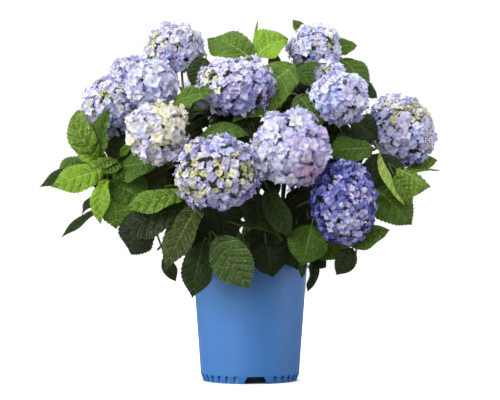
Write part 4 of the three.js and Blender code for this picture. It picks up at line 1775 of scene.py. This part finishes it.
    def add_petiole(self, start: Array, foot: Array, tip: Array) -> None:
        """Join a leaf to its shoot.

        Args:
            start: Where the stalk leaves the shoot.
            foot: The blade's foot.
            tip: Its tip.
        """
        tube = self.petiole
        heading = unit(tip - foot)
        lead = min(self.petiole_lead, 0.4 * float(np.linalg.norm(foot - start)))
        curve = bezier(start, foot - heading * lead, foot + heading * 0.004, tube.steps)
        points = tube.bend(curve[None], tube.taper(self.petiole_radii, 1))
        self.twigs.add(tube.pattern, points, np.zeros(1, dtype=int))

    def grow_leaves(self) -> None:
        """Grow the leaves set by hand, then the seeded ones that fill in behind them."""
        self.set_sprays()
        outer = [T.MEADOW, T.BRIGHT, T.DEEP, T.OLIVE, T.FRESH, T.MEADOW]
        # Masses at the front, behind the sprays, and low ones take the darker greens as painted shade.
        painted_shade = [T.DEEP, T.SHADE, T.DEEP, T.MEADOW]
        for group, nodes in MASS_GROUPS.items():
            for node in nodes:
                if node != "leaf_mass_heart":
                    front = middle_and_reach(node)[0][1] < -0.03
                    self.fill_mass(group, node, painted_shade if front or "low" in node else outer)
        self.add_collars()
        self.fill_heart()

    def set_sprays(self) -> None:
        """Set the leaves of the sprays, each with a stalk from a near shoot that isn't in front of it."""
        spots = np.concatenate(self.shoots)
        for leaf in SPRAYS:
            foot, tip = np.array(leaf.foot), np.array(leaf.tip)
            inward = foot - unit(tip - foot) * 0.03
            apart = np.linalg.norm((spots - inward) * (2.0, 0.6, 1.3), axis=1)
            in_front = np.maximum(0.0, foot[1] + 0.004 - spots[:, 1])
            start = spots[np.argmin(apart + 1.5 * in_front)]
            group = "foliage_top"
            if foot[1] < -0.12:
                group = "foliage_front"
            elif abs(foot[0]) > 0.15:
                group = "foliage_left" if foot[0] < 0 else "foliage_right"
            self.leaves[group].append(leaf)
            self.add_petiole(start, foot, tip)

    def fill_mass(self, group: str, node: str, greens: list[LeafTint]) -> None:
        """Set opposite leaves round the shoot of a leaf mass, inside the room that the mass has.

        Args:
            group: The foliage piece that they join.
            node: The leaf mass.
            greens: The greens to choose from.
        """
        rng = seeded(node)
        middle, reach = middle_and_reach(node)
        reach = reach * TRIMMED.get(node, 1.0)
        along = unit(unit(middle - HEART) + 0.45 * UP)
        side = unit(np.cross(along, UP + 0.1 * rng.normal(size=3)))
        other = np.cross(along, side)
        for i in range(self.mass_pairs):
            t = (i + rng.uniform(0.1, 0.9)) / self.mass_pairs
            start = middle + along * reach.mean() * (t * 1.1 - 0.65)
            spin = i * math.pi / 2 + rng.normal(0, 0.35)
            for angle in (spin, spin + math.pi):
                flat = math.cos(angle) * side + math.sin(angle) * other
                heading = unit(flat + along * (0.1 + 0.7 * t) + rng.normal(0, 0.16, 3))
                length = rng.uniform(*self.mass_leaf) * (1.05 - 0.35 * t)
                foot = start + heading * 0.018
                tip = foot + heading * length - UP * length * rng.uniform(0.0, 0.35)
                local = (tip - middle) / (reach * self.mass_slack)
                if np.linalg.norm(local) > 1:
                    tip = middle + local / np.linalg.norm(local) * reach * self.mass_slack
                if np.linalg.norm(tip - foot) < self.shortest_leaf or not self.above_skirt(tip):
                    continue
                if not self.is_in_the_way(foot, tip):
                    self.add_leaf(group, foot, tip, rng, greens, start)

    def add_collars(self) -> None:
        """Add the leaves that stand just under each mophead."""
        greens = [T.DEEP, T.MEADOW, T.DEEP, T.OLIVE]
        for blossom, heads in MOPHEADS.items():
            group = blossom.replace("blossom_low", "blossom_front").replace("blossom", "foliage")
            for head in heads:
                rng = seeded(head.node + " collar")
                axis = head.axis()
                side = unit(np.cross(axis, UP))
                other = np.cross(axis, side)
                start = head.stalk_end() - axis * self.collar_drop
                for i in range(self.collar_leaves):
                    angle = i * 2 * math.pi / self.collar_leaves + rng.normal(0, 0.3)
                    flat = math.cos(angle) * side + math.sin(angle) * other
                    heading = unit(flat + axis * rng.uniform(-0.25, 0.15))
                    foot = start + heading * 0.02
                    tip = foot + heading * rng.uniform(*self.collar_leaf)
                    if self.has_room(tip) and not self.is_in_the_way(foot, tip):
                        self.add_leaf(group, foot, tip, rng, greens, start)

    def fill_heart(self) -> None:
        """Fill the middle of the shrub with leaves in dark greens that paint the shade there."""
        rng = seeded("heart")
        middle, reach = middle_and_reach("leaf_mass_heart")
        spots = np.concatenate(self.shoots)
        # Painted shade: the darkest greens for the middle of the shrub.
        greens = [T.SHADE, T.DEEP, T.SHADE, T.DEEP, T.MEADOW]
        for _ in range(self.heart_tries):
            direction = unit(rng.normal(size=3) * (1, 1, 0.8))
            foot = middle + direction * reach * rng.uniform(0.55, 0.86)
            if foot[2] < self.heart_floor:
                continue
            start = spots[np.argmin(np.linalg.norm(spots - foot, axis=1))]
            heading = unit(direction * 0.7 + rng.normal(0, 0.5, 3))
            tip = foot + heading * rng.uniform(*self.heart_leaf)
            if np.linalg.norm((tip - middle) / reach) > self.heart_slack or not self.above_skirt(tip):
                continue
            if not self.is_in_the_way(foot, tip):
                self.add_leaf("foliage_heart", foot, tip, rng, greens, start)

    def build_blossom(self) -> None:
        """Build the mopheads."""
        thin = Tubes(3, 2)
        patterns = [floret.pattern() for floret in FLORETS]
        bm = bmesh.new()
        bmesh.ops.create_icosphere(bm, subdivisions=2, radius=1.0)
        core = Pattern.of(bm)
        for group, heads in MOPHEADS.items():
            blossom = Swarm(group, self.petals, (4, 3))
            for head in heads:
                head.place(blossom, self.twigs, thin, patterns, core)
            settle(blossom.build(), [head.node for head in heads])

    def build_foliage(self) -> None:
        """Build the leaves, the ones in the middle of the shrub from a simpler blade."""
        tints = list(LeafTint)
        for group, nodes in MASS_GROUPS.items():
            foliage = Swarm(group, self.greens, (4, 2))
            blade = SIMPLE_BLADE if group == "foliage_heart" else FULL_BLADE
            pattern = blade.pattern()
            leaves = self.leaves[group]
            slots = np.array([tints.index(leaf.tint) for leaf in leaves])
            foliage.add(pattern, blade.shape(pattern.points, leaves), slots)
            settle(foliage.build(), nodes)
            LOG.info("%s: %d leaves", group, len(leaves))

    def build(self) -> None:
        """Grow the shrub and build its pieces."""
        self.grow_canes()
        self.grow_shoots()
        self.grow_leaves()
        self.build_blossom()
        settle(self.wood.build(), [cane.node for cane in CANES])
        settle(self.twigs.build(), [])
        self.build_foliage()


# --------------------------------------
# Pot and potting mix


@dataclass
class Pot:
    """The round nursery pot: lip, tapered wall, chamfered foot with gaps and grooves, and raised floor."""

    height: float = 0.216
    wall: float = 0.0018
    rim: float = 0.1115
    neck: float = 0.1076
    heel: float = 0.0925
    foot: float = 0.0875
    ring: float = 0.080
    pad: float = 0.062
    slope: float = 0.002
    foot_height: float = 0.012
    collar: float = 0.0165
    shoulder: float = 0.004
    lip: float = 0.0075
    floor: float = 0.0025
    steps: int = 144
    crease: float = 32.0
    gaps: int = 3
    first_gap: float = 6.6
    gap_tool: Point = (0.045, 0.030, 0.040)
    gap_out: float = 0.092
    gap_top: float = 0.013
    grooves: int = 8
    groove_pitch: float = 10.57
    groove_radius: float = 0.0038
    groove_length: float = 0.02
    groove_depth: float = 0.006
    tool_foot: float = -0.002

    def radius(self, height: float) -> float:
        """Give the wall's outside radius at a height."""
        top = self.height - self.lip
        return self.heel + (self.neck - self.heel) * (height - self.foot_height) / (top - self.foot_height)

    def outline(self) -> list[tuple[float, float]]:
        """Give the half section, from the middle of the underside round to the middle of the floor.

        Returns:
            Radius and height of each corner.
        """
        step, top = self.foot_height + self.floor, self.height
        under_lip = top - self.lip
        shoulder = under_lip - self.shoulder
        inner = self.radius(top) - self.wall
        return [
            (0.0, 0.0), (self.pad, 0.0), (self.pad + self.slope, self.foot_height),
            (self.ring - self.slope, self.foot_height), (self.ring, 0.0), (self.foot, 0.0),
            (self.heel, self.foot_height), (self.radius(self.collar), self.collar),
            (self.radius(shoulder), shoulder), (self.neck, under_lip),
            (self.neck + 0.0008, under_lip + 0.0004), (self.rim - 0.0006, under_lip + 0.0007),
            (self.rim, under_lip + 0.0014), (self.rim, top - 0.0016), (self.rim - 0.0005, top - 0.0006),
            (self.rim - 0.0016, top), (inner + 0.0006, top), (inner, top - 0.0006),
            (self.radius(step) - self.wall, step), (self.pad, step),
            (self.pad - self.floor, self.floor), (0.0, self.floor),
        ]

    def cutters(self) -> bpy.types.Object:
        """Make the tools that cut the drainage gaps and the grooves.

        Returns:
            All of them as one object.
        """
        bm = bmesh.new()
        for i in range(self.gaps):
            middle = self.first_gap + 360 / self.gaps * i
            self.gap(bm, middle)
            for j in range(self.grooves):
                between = middle + 180 / self.gaps
                self.groove(bm, between + (j - (self.grooves - 1) / 2) * self.groove_pitch)
        bmesh.ops.recalc_face_normals(bm, faces=bm.faces)
        return as_object("pot_cutters", bm)

    def gap(self, bm: bmesh.types.BMesh, turn: float) -> None:
        """Add the tool for one drainage gap, wider at the foot.

        Args:
            bm: The tools.
            turn: Where the gap lies round the foot, in degrees.
        """
        low_width, high_width, depth = self.gap_tool
        made = bmesh.ops.create_cube(bm, size=1.0)["verts"]
        for vertex in made:
            low = vertex.co.z < 0
            wide, height = (low_width, self.tool_foot) if low else (high_width, self.gap_top)
            vertex.co = (vertex.co.x * wide, vertex.co.y * depth - self.gap_out, height)
        turned_by(bm, made, math.radians(turn))

    def groove(self, bm: bmesh.types.BMesh, turn: float) -> None:
        """Add the tool for one round-topped groove.

        Args:
            bm: The tools.
            turn: Where the groove lies round the foot, in degrees.
        """
        size, length = self.groove_radius, self.groove_length
        made = bmesh.ops.create_cone(
            bm, cap_ends=True, segments=20, radius1=size, radius2=size, depth=length
        )["verts"]
        bmesh.ops.rotate(bm, verts=made, cent=(0, 0, 0), matrix=Matrix.Rotation(math.pi / 2, 3, "X"))
        for vertex in made:
            vertex.co.z = self.tool_foot if vertex.co.z < -0.0001 else vertex.co.z + length / 2
        out = self.groove_depth - self.radius(self.gap_top) - length / 2
        bmesh.ops.translate(bm, verts=made, vec=(0.0, out, 0.0))
        turned_by(bm, made, math.radians(turn))

    def build(self) -> None:
        """Spin the pot, cut its foot and finish it."""
        shell, tools = spun("pot_shell", self.outline(), self.steps), self.cutters()
        cut = shell.modifiers.new("foot", "BOOLEAN")
        cut.operation, cut.object, cut.solver = "DIFFERENCE", tools, "EXACT"
        pot = frozen(shell, "nursery_pot")
        for spare in (shell, tools):
            bpy.data.objects.remove(spare)
        pot.data.materials.clear()
        pot.data.materials.append(PotFinish().make())
        pot.data.shade_smooth()
        pot.data.set_sharp_from_angle(angle=math.radians(self.crease))
        settle(pot, ["pot"])


@dataclass
class PottingMix:
    """The peat in the pot, heaped in the middle, with bark chips and perlite on top."""

    top: float = 0.193
    heap: float = 0.072
    dish: float = 0.005
    gap: float = 0.0004
    rings: int = 14
    sides: int = 72
    lump: float = 0.0011
    lumpy_above: float = 0.186
    chips: int = 420
    chip_margin: float = 0.008
    white_share: float = 0.22
    bark: Range = (0.0025, 0.011)
    grain: Range = (0.002, 0.0035)
    thickest: float = 0.004
    bevel: float = 0.18

    def build(self, pot: Pot) -> None:
        """Build the mix and what lies on it.

        Args:
            pot: The pot that it fills.
        """
        gap, step = self.gap, pot.foot_height + pot.floor
        side = pot.radius(self.top) - pot.wall - gap
        outline = [
            (0.0, pot.floor + gap),
            (pot.pad - pot.floor - gap, pot.floor + gap),
            (pot.pad - gap, step + gap),
            (pot.radius(step) - pot.wall - gap, step + gap),
            (side, self.top - self.dish / 2),
        ]
        for i in range(self.rings + 1):
            r = (side - 0.001) * (1 - i / self.rings)
            fall = min(1.0, max(0.0, (r - self.heap) / (side - self.chip_margin - self.heap)))
            outline.append((r, self.top - self.dish * fall))
        peat = spun("potting_mix_bed", outline, self.sides)
        rng = seeded("peat")
        for vertex in peat.data.vertices:
            flat = math.hypot(vertex.co.x, vertex.co.y)
            if vertex.co.z > self.lumpy_above and flat < side - 0.002:
                vertex.co.z += float(rng.normal(0, self.lump))
        peat.data.materials.append(MixFinish().make())
        peat.data.shade_smooth()
        settle(peat, ["potting_mix"])
        self.scatter(side)

    def scatter(self, side: float) -> None:
        """Scatter bark chips and perlite over the mix.

        Args:
            side: The mix's radius at its top.
        """
        rng = seeded("chips")
        bm = bmesh.new()
        bmesh.ops.create_cube(bm, size=1.0)
        cut = {"segments": 1, "profile": 0.5, "affect": "EDGES", "material": -1}
        bmesh.ops.bevel(bm, geom=bm.edges[:] + bm.verts[:], offset=self.bevel, **cut)
        pattern = Pattern.of(bm)
        kinds = [ChipFinish("bark_chip", "6b4a30"), ChipFinish("perlite", "d9d6cc")]
        chips = Swarm("mix_chips", [kind.make() for kind in kinds])
        count, edge = self.chips, side - self.chip_margin
        white = rng.random(count) < self.white_share
        radius = np.sqrt(rng.random(count)) * edge
        angle = rng.uniform(0, 2 * math.pi, count)
        fall = np.clip((radius - self.heap) / (edge - self.heap), 0, 1)
        height = self.top - self.dish * fall + 0.0005
        spot = np.stack([radius * np.cos(angle), radius * np.sin(angle), height], 1)
        grains, barks = rng.uniform(*self.grain, (count, 3)), rng.uniform(*self.bark, (count, 3))
        size = np.where(white[:, None], grains, barks)
        size[:, 2] = np.minimum(size[:, 2], self.thickest)
        first = unit(rng.normal(size=(count, 3)) * (1, 1, 0.25))
        third = unit(np.cross(first, unit(rng.normal(size=(count, 3)) * (1, 1, 0.2))))
        second = np.cross(third, first)
        turned = np.stack([first, second, third], 2) * size[:, None, :]
        points = np.einsum("nij,mj->nmi", turned, pattern.points) + spot[:, None]
        points = points + rng.normal(0, 0.0003, points.shape)
        chips.add(pattern, points, white.astype(int))
        settle(chips.build(), [])


def spun(name: str, outline: list[tuple[float, float]], steps: int) -> bpy.types.Object:
    """Spin a half section about the upright axis.

    Args:
        name: The object's name.
        outline: Radius and height of each of its corners.
        steps: Sides round it.

    Returns:
        The closed solid.
    """
    bm = bmesh.new()
    verts = [bm.verts.new((r, 0.0, z)) for r, z in outline]
    edges = [bm.edges.new(pair) for pair in zip(verts, verts[1:])]
    whole = {"angle": 2 * math.pi, "steps": steps, "use_merge": True}
    bmesh.ops.spin(bm, geom=verts + edges, cent=(0, 0, 0), axis=(0, 0, 1), **whole)
    bmesh.ops.remove_doubles(bm, verts=bm.verts, dist=1e-6)
    bmesh.ops.recalc_face_normals(bm, faces=bm.faces)
    return as_object(name, bm)


def frozen(source: bpy.types.Object, name: str) -> bpy.types.Object:
    """Copy an object with its modifiers worked in.

    Args:
        source: The object.
        name: The copy's name.

    Returns:
        The copy, without modifiers.
    """
    shown = source.evaluated_get(bpy.context.evaluated_depsgraph_get())
    mesh = bpy.data.meshes.new_from_object(shown)
    mesh.name = name
    return placed(name, mesh)


# --------------------------------------
# Studio


@dataclass(frozen=True)
class Sun:
    """A broad even light from one side, in degrees above level and round from the front to the right."""

    name: str
    azimuth: float
    rise: float
    spread: float
    power: float
    colour: Point = (1.0, 1.0, 1.0)

    def place(self) -> None:
        """Add the light to the scene."""
        data = bpy.data.lights.new(self.name, "SUN")
        data.angle, data.energy, data.color = math.radians(self.spread), self.power, self.colour
        away = Vector(-towards(self.azimuth, self.rise))
        placed(self.name, data).rotation_euler = away.to_track_quat("-Z", "Y").to_euler()


@dataclass(frozen=True)
class Studio:
    """A pale floor, soft light from the upper left and a camera in front."""

    stand: Point = (0.0, -2.10, 0.19)
    aim: Point = (0.0, 0.0, 0.339)
    lens: float = 79.6
    sensor: float = 36.0
    room: Range = (0.64, 1.02)
    floor_size: float = 14.0
    floor_height: float = -0.0004
    floor_grey: Colour = (0.3, 0.3, 0.3, 1.0)
    seen_grey: Colour = (0.88, 0.88, 0.88, 1.0)
    under_pot: Range = (0.086, 0.100)
    glow: float = 0.6
    suns: tuple[Sun, ...] = (
        Sun("key", -52.0, 26.0, 30.0, 1.8, (1.0, 0.985, 0.96)),
        Sun("low", -86.0, 4.0, 44.0, 0.9),
        Sun("front", -28.0, 12.0, 44.0, 1.35, (0.98, 0.99, 1.0)),
        Sun("right", 80.0, 18.0, 44.0, 1.0, (0.98, 0.99, 1.0)),
        Sun("top", -10.0, 74.0, 40.0, 0.9),
        Sun("back", 165.0, 32.0, 40.0, 0.7),
    )

    def camera(self) -> None:
        """Set up the camera."""
        data = bpy.data.cameras.new("camera")
        data.lens, data.sensor_width = self.lens, self.sensor
        made = placed("camera", data)
        made.location = self.stand
        look = Vector(self.aim) - Vector(self.stand)
        made.rotation_euler = look.to_track_quat("-Z", "Y").to_euler()
        bpy.context.scene.camera = made

    def world(self) -> None:
        """Fill the room with pale even light, whiter where the camera looks straight at it."""
        world = bpy.data.worlds.new("studio")
        world.use_nodes = True
        graph = Graph(world.node_tree)
        seen = graph.node("ShaderNodeLightPath").outputs["Is Camera Ray"]
        strength = graph.joined("ShaderNodeMapRange", {0: seen, 3: self.room[0], 4: self.room[1]})[0]
        back = graph.joined("ShaderNodeBackground", {"Color": WHITE, "Strength": strength})[0]
        graph.joined("ShaderNodeOutputWorld", {0: back})
        bpy.context.scene.world = world

    def floor(self) -> None:
        """Lay the floor, whiter where the camera looks straight at it away from the pot."""
        bm = bmesh.new()
        bmesh.ops.create_grid(bm, x_segments=4, y_segments=4, size=self.floor_size)
        bmesh.ops.translate(bm, verts=bm.verts, vec=(0.0, 0.0, self.floor_height))
        made = as_object("floor", bm)
        finish = Finish("pale_floor", 0.9, 0.0)
        graph = finish.graph
        seen = graph.node("ShaderNodeLightPath").outputs["Is Camera Ray"]
        finish.paint("Base Color", graph.blend(seen, self.floor_grey, self.seen_grey))
        glow = graph.between(graph.length(graph.in_object()), *self.under_pot, 0.0, self.glow)
        finish.paint("Emission Color", WHITE)
        finish.paint("Emission Strength", graph.times(seen, glow))
        made.data.materials.append(finish.material)

    def build(self) -> None:
        """Build the studio."""
        self.camera()
        self.world()
        self.floor()
        for sun in self.suns:
            sun.place()
        bpy.context.scene.view_settings.view_transform = "Standard"
        LOG.info("studio: floor, camera and %d suns", len(self.suns))


def main() -> None:
    """Build the studio, the pot and the shrub."""
    logging.basicConfig(level=logging.INFO, format="%(name)s: %(message)s")
    Studio().build()
    pot = Pot()
    pot.build()
    PottingMix().build(pot)
    Canopy().build()


if __name__ == "__main__":
    main()
